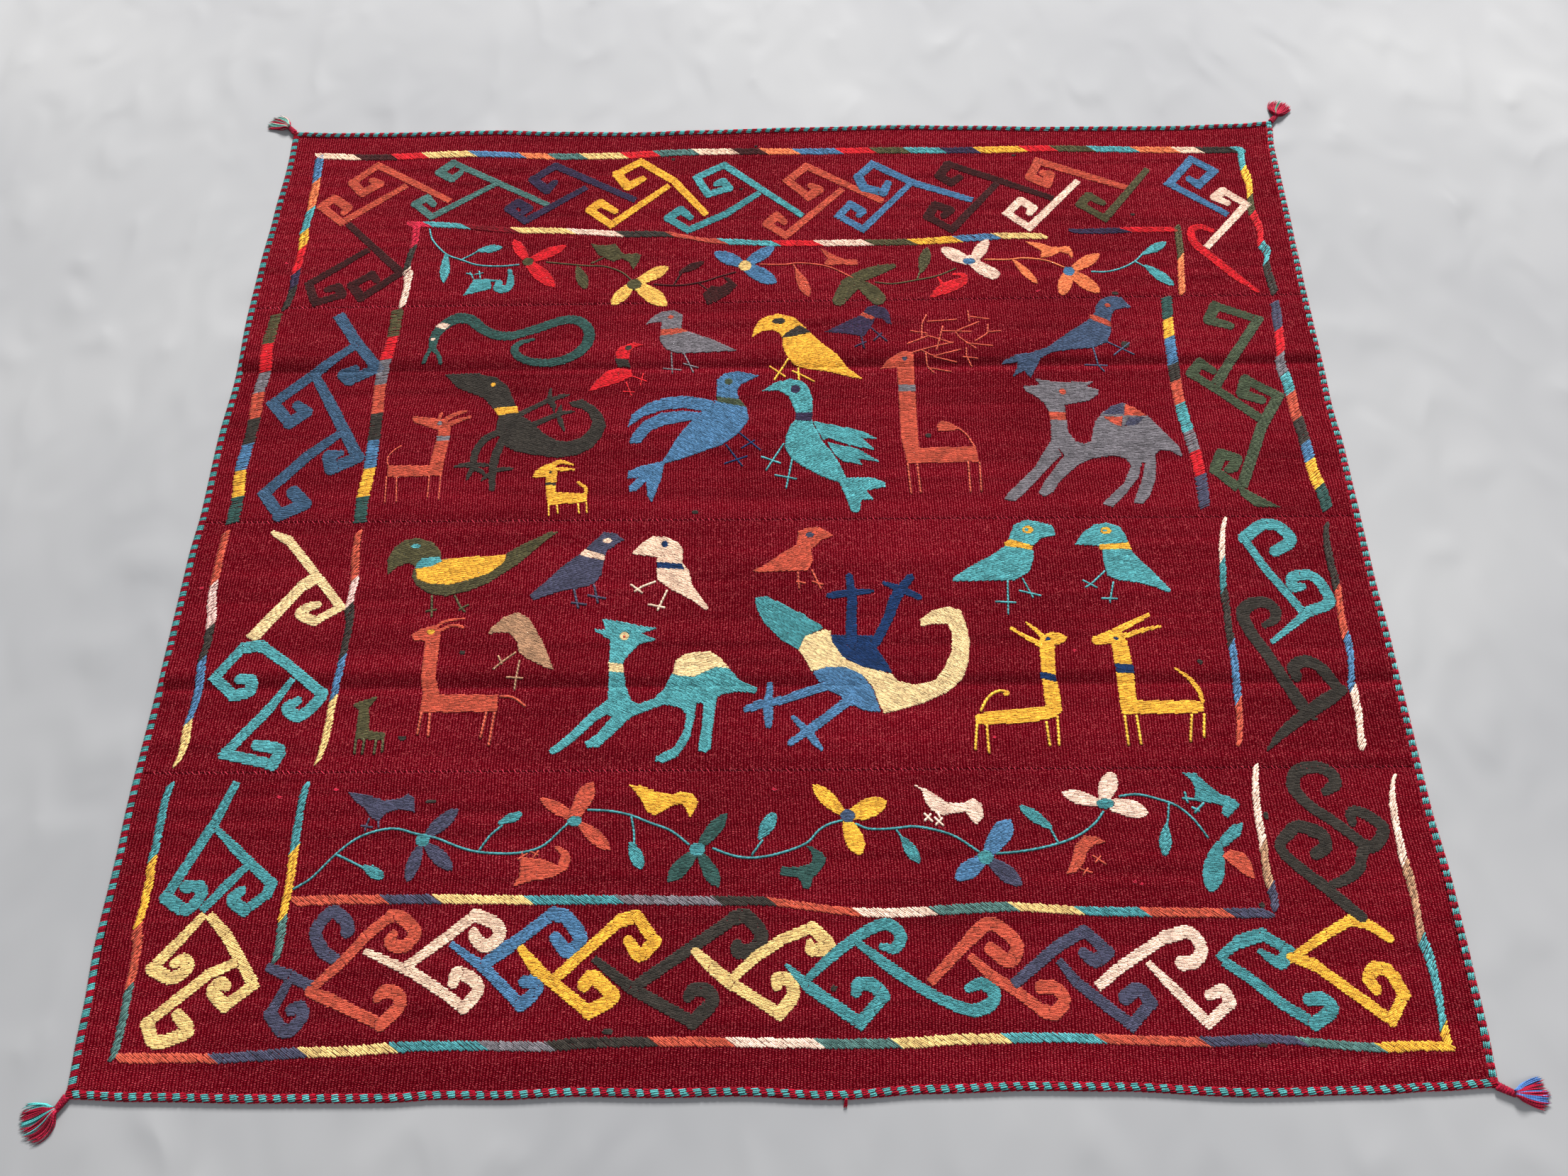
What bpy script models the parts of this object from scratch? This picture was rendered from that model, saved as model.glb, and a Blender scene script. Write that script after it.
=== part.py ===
# Patchwork kilim rug: four red woven strips sewn edge to edge, an overcast edge and four corner tassels.
# Metres, +Z up, X along the strips, +Y across them towards the far side. The rug lies flat on Z = 0,
# with the origin on the floor under its middle.

import math
from collections import namedtuple

import bmesh
import bpy
import numpy as np

# Driving sizes of the cloth and its edge
CLOTH_THICKNESS = 0.0025
EDGE_WIDTH = 0.0105
EDGE_HEIGHT = 0.0050
EDGE_SHOULDER = 0.22
EDGE_FOOT = 0.84
GAP = 0.0003

# How finely the cloth follows its outline: cells along a strip, and rows across one
COLUMNS = 30
ROWS = 5

# The rug's outer outline, as uneven as it lies: the place along a side, and where the edge runs there
Knot = namedtuple("Knot", "along edge")
FAR_SIDE = (
    Knot(-0.8945, 0.8225),
    Knot(-0.8100, 0.8190),
    Knot(-0.7000, 0.8185),
    Knot(-0.5200, 0.8212),
    Knot(-0.4000, 0.8160),
    Knot(-0.2500, 0.8125),
    Knot(-0.1500, 0.8158),
    Knot(0.0500, 0.8200),
    Knot(0.2200, 0.8230),
    Knot(0.3500, 0.8195),
    Knot(0.5000, 0.8145),
    Knot(0.7300, 0.8130),
    Knot(0.8500, 0.8170),
    Knot(0.9120, 0.8220),
)
NEAR_SIDE = (
    Knot(-0.8995, -0.8240),
    Knot(-0.8100, -0.8275),
    Knot(-0.6500, -0.8300),
    Knot(-0.5000, -0.8300),
    Knot(-0.4200, -0.8265),
    Knot(-0.3500, -0.8270),
    Knot(-0.2500, -0.8235),
    Knot(-0.1500, -0.8255),
    Knot(-0.0500, -0.8240),
    Knot(0.0700, -0.8285),
    Knot(0.2000, -0.8220),
    Knot(0.3200, -0.8190),
    Knot(0.4200, -0.8200),
    Knot(0.6000, -0.8275),
    Knot(0.7500, -0.8250),
    Knot(0.8200, -0.8215),
    Knot(0.9040, -0.8175),
)
LEFT_SIDE = (
    Knot(-0.8240, -0.8995),
    Knot(-0.7300, -0.9033),
    Knot(-0.6200, -0.9085),
    Knot(-0.5200, -0.9075),
    Knot(-0.4500, -0.9090),
    Knot(-0.2500, -0.9058),
    Knot(-0.0600, -0.9050),
    Knot(0.0200, -0.9012),
    Knot(0.1500, -0.9022),
    Knot(0.2700, -0.8972),
    Knot(0.4000, -0.9015),
    Knot(0.5000, -0.9005),
    Knot(0.6200, -0.8965),
    Knot(0.7400, -0.8925),
    Knot(0.8225, -0.8945),
)
RIGHT_SIDE = (
    Knot(-0.8175, 0.9040),
    Knot(-0.7300, 0.9070),
    Knot(-0.5700, 0.9075),
    Knot(-0.4500, 0.9027),
    Knot(-0.2000, 0.9028),
    Knot(-0.1200, 0.9010),
    Knot(0.0400, 0.9018),
    Knot(0.1200, 0.9022),
    Knot(0.2000, 0.8988),
    Knot(0.2800, 0.9003),
    Knot(0.4300, 0.9010),
    Knot(0.5100, 0.9025),
    Knot(0.6200, 0.9045),
    Knot(0.7500, 0.9058),
    Knot(0.8220, 0.9120),
)

# The seams between the strips, each a straight line from the left edge to the right one
Seam = namedtuple("Seam", "left_y right_y")
SEAMS = (Seam(-0.4013, -0.4040), Seam(0.0005, -0.0042), Seam(0.4161, 0.4235))

# Soft ridges left by folding the rug, straight across its whole width
Fold = namedtuple("Fold", "y height half_width")
FOLDS = (Fold(-0.280, 0.0030, 0.012), Fold(0.100, 0.0014, 0.012), Fold(0.286, 0.0032, 0.012))
FOLD_WAVE = 0.45
FOLD_WAVES_PER_METRE = 1.1
FOLD_SHIFT = 2.1
FOLD_FOOT = 0.02
FOLD_REACH = 2.2

# A corner tassel: its head's middle, the fan of its skirt in degrees from +X, and the skirt's reach
Tassel = namedtuple("Tassel", "name across along head_x head_y fan_from fan_to curl reach seed")
TASSELS = (
    Tassel("far_left", -1, 1, -0.9070, 0.8360, 118, 170, 6, 0.046, 3),
    Tassel("far_right", 1, 1, 0.9235, 0.8365, 28, 76, -8, 0.047, 5),
    Tassel("near_left", -1, -1, -0.9075, -0.8340, 178, 250, 10, 0.047, 7),
    Tassel("near_right", 1, -1, 0.9165, -0.8270, -34, 26, -10, 0.050, 9),
)
NECK_RADIUS = 0.0022
HEAD_RADIUS = 0.0050
ROOT_MIDDLE = 0.0078
ROOT_SIZE = (0.0074, 0.0062, 0.0034)
LOWER_STRANDS = 13
UPPER_STRANDS = 12
STRAND_WIDTH = 0.0011
STRAND_SHARE = 0.62
SHORTEST = 0.88
STRAND_STEPS = 5
STRAND_START = 0.0034
STRAND_START_HEIGHT = 0.0024
LAYER_RISE = 0.0016
LANDING = 0.84


def clear_scene():
    for item in list(bpy.data.objects):
        bpy.data.objects.remove(item, do_unlink=True)


def new_collection(name):
    group = bpy.data.collections.new(name)
    bpy.context.scene.collection.children.link(group)
    return group


def wool(name, colour):
    """A dull dyed wool of one colour."""
    material = bpy.data.materials.new(name)
    material.use_nodes = True
    shader = material.node_tree.nodes["Principled BSDF"]
    shader.inputs["Base Color"].default_value = (*colour, 1.0)
    shader.inputs["Roughness"].default_value = 0.92
    shader.inputs["Metallic"].default_value = 0.0
    return material


def edge_at(side, along):
    """Where a side's edge runs: half a cosine wave from each knot to the next."""
    places = np.array([knot.along for knot in side])
    edges = np.array([knot.edge for knot in side])
    step = np.interp(along, places, np.arange(len(side)))
    whole = np.minimum(step.astype(int), len(side) - 2)
    eased = 0.5 - 0.5 * np.cos(np.pi * (step - whole))
    return edges[whole] + (edges[whole + 1] - edges[whole]) * eased


def seam_at(seam, across):
    """The Y of a seam at a part of the way across the rug, 0 at the left and 1 at the right."""
    return seam.left_y + (seam.right_y - seam.left_y) * across


def fold_lift(x, y):
    """How far the folds lift the cloth off the floor: one soft bump for each fold, uneven along it."""
    lift = np.zeros_like(y)
    for number, fold in enumerate(FOLDS):
        turn = 2.0 * math.pi * FOLD_WAVES_PER_METRE * x + FOLD_SHIFT * number
        uneven = 1.0 - FOLD_WAVE * (0.5 + 0.5 * np.sin(turn))
        bump = np.exp(-(((y - fold.y) / fold.half_width) ** 2))
        lift = lift + fold.height * uneven * np.where(bump > FOLD_FOOT, bump, 0.0)
    return lift


def strip_rows(low, high):
    """The rows of points across a strip, as parts of its width: even ones, and five over each fold."""
    width = high - low
    rows = list(np.linspace(0.0, 1.0, ROWS + 1))
    for fold in FOLDS:
        if low < fold.y < high:
            middle = (fold.y - low) / width
            spread = FOLD_REACH * fold.half_width / width
            rows = [row for row in rows if abs(row - middle) > 1.3 * spread]
            rows += [middle + spread * part for part in (-1.0, -0.5, 0.0, 0.5, 1.0)]
    return np.array(sorted(rows))


def long_side_places(corner):
    """The X of the cloth's points along its near side, with corner 0, or its far side, with corner -1."""
    inset = EDGE_WIDTH + GAP
    return np.linspace(LEFT_SIDE[corner].edge + inset, RIGHT_SIDE[corner].edge - inset, COLUMNS + 1)


def strip_points(number):
    """The strip's points on the floor plan: rows between its two long sides, each from end to end."""
    inset = EDGE_WIDTH + GAP
    across = np.linspace(0.0, 1.0, COLUMNS + 1)
    low = edge_at(NEAR_SIDE, long_side_places(0)) + inset
    high = edge_at(FAR_SIDE, long_side_places(-1)) - inset
    if number > 0:
        low = seam_at(SEAMS[number - 1], across) + 0.5 * GAP
    if number < len(SEAMS):
        high = seam_at(SEAMS[number], across) - 0.5 * GAP
    rows = strip_rows(low.mean(), high.mean())
    y = low[None, :] + (high - low)[None, :] * rows[:, None]
    left = edge_at(LEFT_SIDE, y) + inset
    right = edge_at(RIGHT_SIDE, y) - inset
    x = left + (right - left) * across[None, :]
    return x, y


def make_strip(number, name, material, group):
    """One woven strip: a flat grid laid out on the outline, lifted at the folds and given its thickness."""
    x, y = strip_points(number)
    z = fold_lift(x, y)
    rows, columns = x.shape
    mesh = bpy.data.meshes.new(name)
    grid = bmesh.new()
    bmesh.ops.create_grid(grid, x_segments=columns - 1, y_segments=rows - 1, size=0.5)
    for vertex in grid.verts:
        column = round((vertex.co.x + 0.5) * (columns - 1))
        row = round((vertex.co.y + 0.5) * (rows - 1))
        vertex.co = (x[row, column], y[row, column], z[row, column])
    grid.to_mesh(mesh)
    grid.free()
    mesh.materials.append(material)
    strip = bpy.data.objects.new(name, mesh)
    group.objects.link(strip)
    thick = strip.modifiers.new("cloth thickness", "SOLIDIFY")
    thick.thickness = CLOTH_THICKNESS
    thick.offset = 1.0
    thick.use_even_offset = True
    return strip


def poly_curve(name, paths, widths, tilt, group):
    """A curve object of straight-stepped splines, each point with its own width."""
    curve = bpy.data.curves.new(name, "CURVE")
    curve.dimensions = "3D"
    curve.twist_mode = "Z_UP"
    curve.use_fill_caps = True
    for path, width in zip(paths, widths):
        spline = curve.splines.new("POLY")
        spline.points.add(len(path) - 1)
        for point, place, size in zip(spline.points, path, width):
            point.co = (*place, 1.0)
            point.radius = size
            point.tilt = tilt
    item = bpy.data.objects.new(name, curve)
    group.objects.link(item)
    return item


def edge_section(cutters):
    """The overcast edge's section: flat on the floor, round above."""
    angles = np.linspace(math.pi, 0.0, 7)
    half = 0.5 * EDGE_WIDTH
    rise = 1.0 - EDGE_SHOULDER
    outline = [(half * math.cos(a), EDGE_HEIGHT * (EDGE_SHOULDER + rise * math.sin(a))) for a in angles]
    outline += [(EDGE_FOOT * half, 0.0), (-EDGE_FOOT * half, 0.0)]
    curve = bpy.data.curves.new("edge_section", "CURVE")
    curve.dimensions = "2D"
    spline = curve.splines.new("POLY")
    spline.points.add(len(outline) - 1)
    for point, place in zip(spline.points, outline):
        point.co = (place[0], place[1], 0.0, 1.0)
    spline.use_cyclic_u = True
    section = bpy.data.objects.new("edge_section", curve)
    section.hide_render = True
    section.display_type = "WIRE"
    cutters.objects.link(section)
    return section


def side_paths():
    """The middle line of each side's overcast edge, through the same places as the strips' own points."""
    half = 0.5 * EDGE_WIDTH
    strips = [strip_points(number) for number in range(len(SEAMS) + 1)]
    left_y = np.concatenate([y[1:, 0] for x, y in strips])
    right_y = np.concatenate([y[1:, -1] for x, y in strips])
    left_y = np.concatenate([[strips[0][1][0, 0]], left_y])
    right_y = np.concatenate([[strips[0][1][0, -1]], right_y])
    near_x = np.concatenate([[LEFT_SIDE[0].edge], long_side_places(0), [RIGHT_SIDE[0].edge]])
    far_x = np.concatenate([[LEFT_SIDE[-1].edge], long_side_places(-1), [RIGHT_SIDE[-1].edge]])
    return {
        "edge_near": (near_x, edge_at(NEAR_SIDE, near_x) + half),
        "edge_far": (far_x, edge_at(FAR_SIDE, far_x) - half),
        "edge_left": (edge_at(LEFT_SIDE, left_y) + half, left_y),
        "edge_right": (edge_at(RIGHT_SIDE, right_y) - half, right_y),
    }


def make_edges(material, group, cutters):
    """The overcast edge: one solid bar for each side, its ends cut square."""
    section = edge_section(cutters)
    for name, (x, y) in side_paths().items():
        path = [(px, py, 0.0) for px, py in zip(x, y)]
        bar = poly_curve(name, [path], [[1.0] * len(path)], 0.0, group)
        bar.data.bevel_mode = "OBJECT"
        bar.data.bevel_object = section
        bar.data.materials.append(material)
        weld = bar.modifiers.new("closed ends", "WELD")
        weld.merge_threshold = 0.0001


def curve_to_mesh(item, group):
    """The curve as a closed mesh object in its place; the curve is removed."""
    graph = bpy.context.evaluated_depsgraph_get()
    mesh = bpy.data.meshes.new_from_object(item.evaluated_get(graph))
    shape = bmesh.new()
    shape.from_mesh(mesh)
    bmesh.ops.remove_doubles(shape, verts=shape.verts, dist=0.00001)
    shape.to_mesh(mesh)
    shape.free()
    name = item.name
    place = item.matrix_world.copy()
    bpy.data.objects.remove(item, do_unlink=True)
    solid = bpy.data.objects.new(name, mesh)
    solid.matrix_world = place
    group.objects.link(solid)
    return solid


def ball(name, middle, size, turn, group):
    """A ball drawn out to the given half sizes and turned about Z, for a tassel's head and roots."""
    mesh = bpy.data.meshes.new(name)
    shape = bmesh.new()
    bmesh.ops.create_uvsphere(shape, u_segments=12, v_segments=8, radius=1.0)
    for vertex in shape.verts:
        x, y, z = vertex.co.x * size[0], vertex.co.y * size[1], vertex.co.z * size[2]
        flat_x = x * math.cos(turn) - y * math.sin(turn)
        flat_y = x * math.sin(turn) + y * math.cos(turn)
        vertex.co = (middle[0] + flat_x, middle[1] + flat_y, middle[2] + z)
    shape.to_mesh(mesh)
    shape.free()
    item = bpy.data.objects.new(name, mesh)
    group.objects.link(item)
    return item


def strand_paths(tassel):
    """The skirt's strands in an even fan: a lower layer flat on the floor, an upper one between them."""
    chance = np.random.default_rng(tassel.seed)
    fan = math.radians(tassel.fan_to - tassel.fan_from)
    pitch = fan / LOWER_STRANDS
    paths = []
    widths = []
    for layer, count in enumerate((LOWER_STRANDS, UPPER_STRANDS)):
        for number in range(count):
            length = tassel.reach * (1.0 - (1.0 - SHORTEST) * chance.random())
            away = np.linspace(STRAND_START, length, STRAND_STEPS)
            height = np.full(STRAND_STEPS, 0.5 * STRAND_WIDTH + LAYER_RISE * layer)
            height[0] = STRAND_START_HEIGHT + LAYER_RISE * layer
            if layer == 1:
                away[-2] = tassel.reach * LANDING
                away[-1] = max(length, tassel.reach * (LANDING + 0.06))
                height[-2:] = 0.5 * STRAND_WIDTH
            angle = math.radians(tassel.fan_from) + pitch * (number + 0.5 + 0.5 * layer)
            angle = angle + math.radians(tassel.curl) * (away / tassel.reach) ** 2
            width = np.minimum(STRAND_WIDTH, STRAND_SHARE * pitch * away)
            x = tassel.head_x + away * np.cos(angle)
            y = tassel.head_y + away * np.sin(angle)
            paths.append(list(zip(x, y, height)))
            widths.append(width / STRAND_WIDTH)
    return paths, widths


def make_tassel(tassel, material, group, cutters):
    """A corner tassel: a neck from the rug's corner, a bound head, the roots and the strands, in one."""
    corner_x = (LEFT_SIDE if tassel.across < 0 else RIGHT_SIDE)[0 if tassel.along < 0 else -1].edge
    corner_y = (NEAR_SIDE if tassel.along < 0 else FAR_SIDE)[0 if tassel.across < 0 else -1].edge
    run = np.array([tassel.head_x - corner_x, tassel.head_y - corner_y])
    out = run / np.linalg.norm(run)
    start = np.array([corner_x, corner_y]) + GAP * out
    neck_path = [(*start, NECK_RADIUS), (tassel.head_x, tassel.head_y, NECK_RADIUS)]
    neck = poly_curve("neck_" + tassel.name, [neck_path], [[1.0, 1.0]], math.pi / 8, cutters)
    neck.data.bevel_depth = NECK_RADIUS
    neck.data.bevel_resolution = 2
    paths, widths = strand_paths(tassel)
    strands = poly_curve("strands_" + tassel.name, paths, widths, math.pi / 4, cutters)
    strands.data.bevel_depth = STRAND_WIDTH / math.sqrt(2.0)
    strands.data.bevel_resolution = 0
    joined = [curve_to_mesh(neck, cutters), curve_to_mesh(strands, cutters)]
    way = math.radians(0.5 * (tassel.fan_from + tassel.fan_to))
    root_x = tassel.head_x + ROOT_MIDDLE * math.cos(way)
    root_y = tassel.head_y + ROOT_MIDDLE * math.sin(way)
    joined.append(ball("roots_" + tassel.name, (root_x, root_y, ROOT_SIZE[2]), ROOT_SIZE, way, cutters))
    head_size = (HEAD_RADIUS, HEAD_RADIUS, HEAD_RADIUS - 0.0004)
    head_middle = (tassel.head_x, tassel.head_y, head_size[2])
    head = ball("tassel_" + tassel.name, head_middle, head_size, way, group)
    head.data.materials.append(material)
    for piece in joined:
        piece.hide_render = True
        piece.display_type = "WIRE"
        union = head.modifiers.new("join " + piece.name, "BOOLEAN")
        union.operation = "UNION"
        union.solver = "EXACT"
        union.object = piece
    return head


def build_rug():
    clear_scene()
    rug = new_collection("patchwork kilim rug")
    cutters = new_collection("joining shapes")
    crimson = (0.33, 0.028, 0.040)
    for number in range(len(SEAMS) + 1):
        name = "strip_" + str(len(SEAMS) + 1 - number)
        make_strip(number, name, wool("strip wool " + name, crimson), rug)
    make_edges(wool("edge wool", (0.10, 0.38, 0.36)), rug, cutters)
    for tassel in TASSELS:
        make_tassel(tassel, wool("tassel wool " + tassel.name, (0.36, 0.045, 0.055)), rug, cutters)


build_rug()
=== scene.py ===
import math

import bpy
import numpy as np
from mathutils import Matrix, Vector


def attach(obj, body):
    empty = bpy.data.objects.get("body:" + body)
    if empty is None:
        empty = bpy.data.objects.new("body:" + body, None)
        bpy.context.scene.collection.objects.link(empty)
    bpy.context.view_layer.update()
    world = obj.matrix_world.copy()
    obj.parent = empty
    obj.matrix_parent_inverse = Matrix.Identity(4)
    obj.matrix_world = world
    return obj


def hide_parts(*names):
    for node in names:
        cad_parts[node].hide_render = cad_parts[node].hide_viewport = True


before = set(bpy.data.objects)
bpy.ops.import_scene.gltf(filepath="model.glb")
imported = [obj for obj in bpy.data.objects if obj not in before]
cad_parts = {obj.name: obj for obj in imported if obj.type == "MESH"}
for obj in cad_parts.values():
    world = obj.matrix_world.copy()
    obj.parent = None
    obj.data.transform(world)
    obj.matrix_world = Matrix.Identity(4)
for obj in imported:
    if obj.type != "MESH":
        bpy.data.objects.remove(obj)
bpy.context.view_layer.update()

# Camera, floor and light
# The rug lies on a plain pale floor in soft light from beyond its far side, seen from above its near edge.
# The image is 2212 by 1659 pixels, and the focal length is given in the same pixels.
IMAGE_WIDTH = 2212
FOCAL_PIXELS = 1661.0
SENSOR_WIDTH = 36.0
CAMERA_PLACE = Vector((0.02732, -0.87421, 1.61219))
CAMERA_YAW = -0.0212306
CAMERA_DOWN = 1.1321685
CAMERA_ROLL = -0.0272092


def camera_axes(yaw, down, roll):
    """The camera's right, up and back: it looks along yaw, tilted down, and the roll turns right and
    up."""
    ahead = Vector((math.sin(yaw) * math.cos(down), math.cos(yaw) * math.cos(down), -math.sin(down)))
    level = Vector((math.cos(yaw), -math.sin(yaw), 0.0))
    above = level.cross(ahead)
    right = level * math.cos(roll) + above * math.sin(roll)
    up = above * math.cos(roll) - level * math.sin(roll)
    return right, up, -ahead


camera_data = bpy.data.cameras.new("camera")
camera_data.sensor_width = SENSOR_WIDTH
camera_data.lens = SENSOR_WIDTH * FOCAL_PIXELS / IMAGE_WIDTH
camera_data.clip_start = 0.05
camera = bpy.data.objects.new("camera", camera_data)
bpy.context.scene.collection.objects.link(camera)
turned = Matrix(camera_axes(CAMERA_YAW, CAMERA_DOWN, CAMERA_ROLL)).transposed()
camera.matrix_world = Matrix.Translation(CAMERA_PLACE) @ turned.to_4x4()
bpy.context.scene.camera = camera
bpy.context.scene.view_settings.view_transform = "Standard"


def add(tree, kind, inputs=(), **settings):
    """A new node: settings are its own properties, inputs are pairs of a socket and a value or output."""
    made = tree.nodes.new("ShaderNode" + kind)
    for key, value in settings.items():
        setattr(made, key, value)
    for socket, value in inputs:
        if isinstance(value, bpy.types.NodeSocket):
            tree.links.new(value, made.inputs[socket])
        else:
            made.inputs[socket].default_value = value
    return made


def maths(tree, operation, *values):
    """The result of one Math node on the values."""
    return add(tree, "Math", tuple(enumerate(values)), operation=operation).outputs[0]


def blended(tree, mode, share, first, second):
    """Two colours mixed by a share, in the given way."""
    sockets = ((0, share), (6, first), (7, second))
    return add(tree, "Mix", sockets, data_type="RGBA", blend_type=mode).outputs[2]


def ramped(tree, value, *stops):
    """A value turned into a colour by stops of a place and a colour."""
    made = add(tree, "ValToRGB", ((0, value),))
    band = made.color_ramp
    band.elements[0].position = stops[0][0]
    band.elements[0].color = (*stops[0][1], 1.0)
    band.elements[1].position = stops[-1][0]
    band.elements[1].color = (*stops[-1][1], 1.0)
    for place, colour in stops[1:-1]:
        band.elements.new(place).color = (*colour, 1.0)
    return made.outputs[0]


def noise(tree, where, scale, detail=2.0, stretch=(1.0, 1.0, 1.0)):
    """Soft noise from 0 to 1 at a place, the place stretched first."""
    spread = add(tree, "Mapping", ((0, where), (3, stretch))).outputs[0]
    return add(tree, "TexNoise", (("Vector", spread), ("Scale", scale), ("Detail", detail))).outputs[0]


def new_material(name, roughness, sheen, shine=0.05):
    """A material, its node tree and its shader, whose constant values are set on its own sockets."""
    made = bpy.data.materials.new(name)
    made.use_nodes = True
    shader = made.node_tree.nodes["Principled BSDF"]
    shader.inputs["Roughness"].default_value = roughness
    shader.inputs["Specular IOR Level"].default_value = shine
    shader.inputs["Sheen Weight"].default_value = sheen
    shader.inputs["Sheen Roughness"].default_value = 0.5
    return made, made.node_tree, shader


floor_finish, tree, shader = new_material("pale floor cloth", 0.9, 0.0)
where = add(tree, "TexCoord").outputs["Object"]
clouds = noise(tree, where, 1.6, 3.0)
bent = add(tree, "Mapping", ((0, where), (3, (1.0, 0.6, 1.0)))).outputs[0]
crease_inputs = (("Vector", bent), ("Scale", 12.0), ("Detail", 11.0), ("Roughness", 0.66),
                 ("Distortion", 0.3))
creases = add(tree, "TexNoise", crease_inputs, noise_type="RIDGED_MULTIFRACTAL").outputs[0]
tone = ramped(tree, clouds, (0.25, (0.250, 0.252, 0.262)), (0.75, (0.320, 0.320, 0.326)))
tree.links.new(tone, shader.inputs["Base Color"])
relief = add(tree, "Bump", (("Strength", 0.2), ("Distance", 0.03), ("Height", creases)))
tree.links.new(relief.outputs[0], shader.inputs["Normal"])
FLOOR_REACH = 9.0
FLOOR_HEIGHT = -0.0002
floor_mesh = bpy.data.meshes.new("floor")
floor_mesh.from_pydata(
    [(x * FLOOR_REACH, y * FLOOR_REACH, FLOOR_HEIGHT) for x, y in ((-1, -1), (1, -1), (1, 1), (-1, 1))],
    [], [(0, 1, 2, 3)],
)
floor_mesh.materials.append(floor_finish)
floor = bpy.data.objects.new("floor", floor_mesh)
bpy.context.scene.collection.objects.link(floor)


def soft_light(name, place, aim, size, power, colour):
    """A square soft lamp at a place, turned to the aim."""
    lamp = bpy.data.lights.new(name, "AREA")
    lamp.size = size
    lamp.energy = power
    lamp.color = colour
    item = bpy.data.objects.new(name, lamp)
    item.location = place
    item.rotation_euler = (Vector(aim) - Vector(place)).to_track_quat("-Z", "Y").to_euler()
    bpy.context.scene.collection.objects.link(item)


soft_light("window_beyond", (0.8, 8.4, 5.0), (0.0, 0.1, 0.0), 2.6, 2800.0, (1.0, 0.985, 0.96))
soft_light("fill_near", (1.6, -3.0, 3.4), (0.0, 0.0, 0.0), 3.0, 60.0, (0.95, 0.97, 1.0))
sky = bpy.data.worlds.new("soft sky")
sky.use_nodes = True
sky.node_tree.nodes["Background"].inputs["Color"].default_value = (0.93, 0.96, 1.0, 1.0)
sky.node_tree.nodes["Background"].inputs["Strength"].default_value = 0.42
bpy.context.scene.world = sky

# The four woven strips
# Warp-faced plain weave of crimson wool: close ribs run across each strip, dotted where the yarns cross.
# Each strip is about 1.80 m by 0.41 m, lies flat, and keeps the soft ridges left by folding the rug.
CLOTH_THICKNESS = 0.0025
EDGE_WIDTH = 0.0105
TUCKED_UNDER = 0.0025
EDGE_HEIGHT = 0.0050
GAP = 0.0003
FAR_SIDE = ((-0.8945, 0.8225), (-0.81, 0.819), (-0.7, 0.8185), (-0.52, 0.8212), (-0.4, 0.816),
            (-0.25, 0.8125), (-0.15, 0.8158), (0.05, 0.82), (0.22, 0.823), (0.35, 0.8195), (0.5, 0.8145),
            (0.73, 0.813), (0.85, 0.817), (0.912, 0.822))
NEAR_SIDE = ((-0.8995, -0.824), (-0.81, -0.8275), (-0.65, -0.83), (-0.5, -0.83), (-0.42, -0.8265),
             (-0.35, -0.827), (-0.25, -0.8235), (-0.15, -0.8255), (-0.05, -0.824), (0.07, -0.8285),
             (0.2, -0.822), (0.32, -0.819), (0.42, -0.82), (0.6, -0.8275), (0.75, -0.825),
             (0.82, -0.8215), (0.904, -0.8175))
LEFT_SIDE = ((-0.824, -0.8995), (-0.73, -0.9033), (-0.62, -0.9085), (-0.52, -0.9075), (-0.45, -0.909),
             (-0.25, -0.9058), (-0.06, -0.905), (0.02, -0.9012), (0.15, -0.9022), (0.27, -0.8972),
             (0.4, -0.9015), (0.5, -0.9005), (0.62, -0.8965), (0.74, -0.8925), (0.8225, -0.8945))
RIGHT_SIDE = ((-0.8175, 0.904), (-0.73, 0.907), (-0.57, 0.9075), (-0.45, 0.9027), (-0.2, 0.9028),
              (-0.12, 0.901), (0.04, 0.9018), (0.12, 0.9022), (0.2, 0.8988), (0.28, 0.9003),
              (0.43, 0.901), (0.51, 0.9025), (0.62, 0.9045), (0.75, 0.9058), (0.822, 0.912))
SEAMS = ((-0.4013, -0.4040), (0.0005, -0.0042), (0.4161, 0.4235))
FOLDS = ((-0.277, 0.0028), (0.100, 0.0009), (0.282, 0.0034))
SWELL_BEYOND, SWELL_BEFORE = 0.021, 0.006
RIBS = 430
BUMP_PITCH = 0.0021
RIB_DEPTH = 0.0004
SLACK = 0.0007
SWAY = 0.0045
ROLL_REACH = 0.0017
ROLL_DROP = 0.0007
# Painted shade beside each seam: how far it reaches and how much it darkens the cloth.
SEAM_SHADE_REACH = 0.0024
SEAM_SHADE_SHARE = 0.25
HIGHEST_FOLD = 0.0034


def edge_at(side, along):
    """Where a side's edge runs: half a cosine wave from each knot to the next."""
    places, edges = np.array(side).T
    step = np.interp(along, places, np.arange(len(side)))
    whole = np.minimum(step.astype(int), len(side) - 2)
    return edges[whole] + (edges[whole + 1] - edges[whole]) * (0.5 - 0.5 * np.cos(np.pi * (step - whole)))


def cloth_lift(x, y):
    """How far the cloth lies off the floor: a swell beyond each fold and a smaller one before it, both
    distance times a falling exponential, lower and higher by a sine along the fold, and slow waves under a
    millimetre."""
    lift = SLACK * (0.5 + 0.25 * np.sin(6.3 * x + 4.1 * y) + 0.25 * np.sin(9.7 * y - 3.3 * x))
    for number, (middle, height) in enumerate(FOLDS):
        uneven = 1.0 - 0.45 * (0.5 + 0.5 * np.sin(2.0 * math.pi * 1.1 * x + 2.1 * number))
        beyond = np.maximum(y - middle, 0.0) / SWELL_BEYOND
        before = np.maximum(middle - y, 0.0) / SWELL_BEFORE
        lift = lift + height * uneven * (beyond * np.exp(1.0 - beyond) + 0.3 * before * np.exp(1.0 - before))
    return lift


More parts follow.
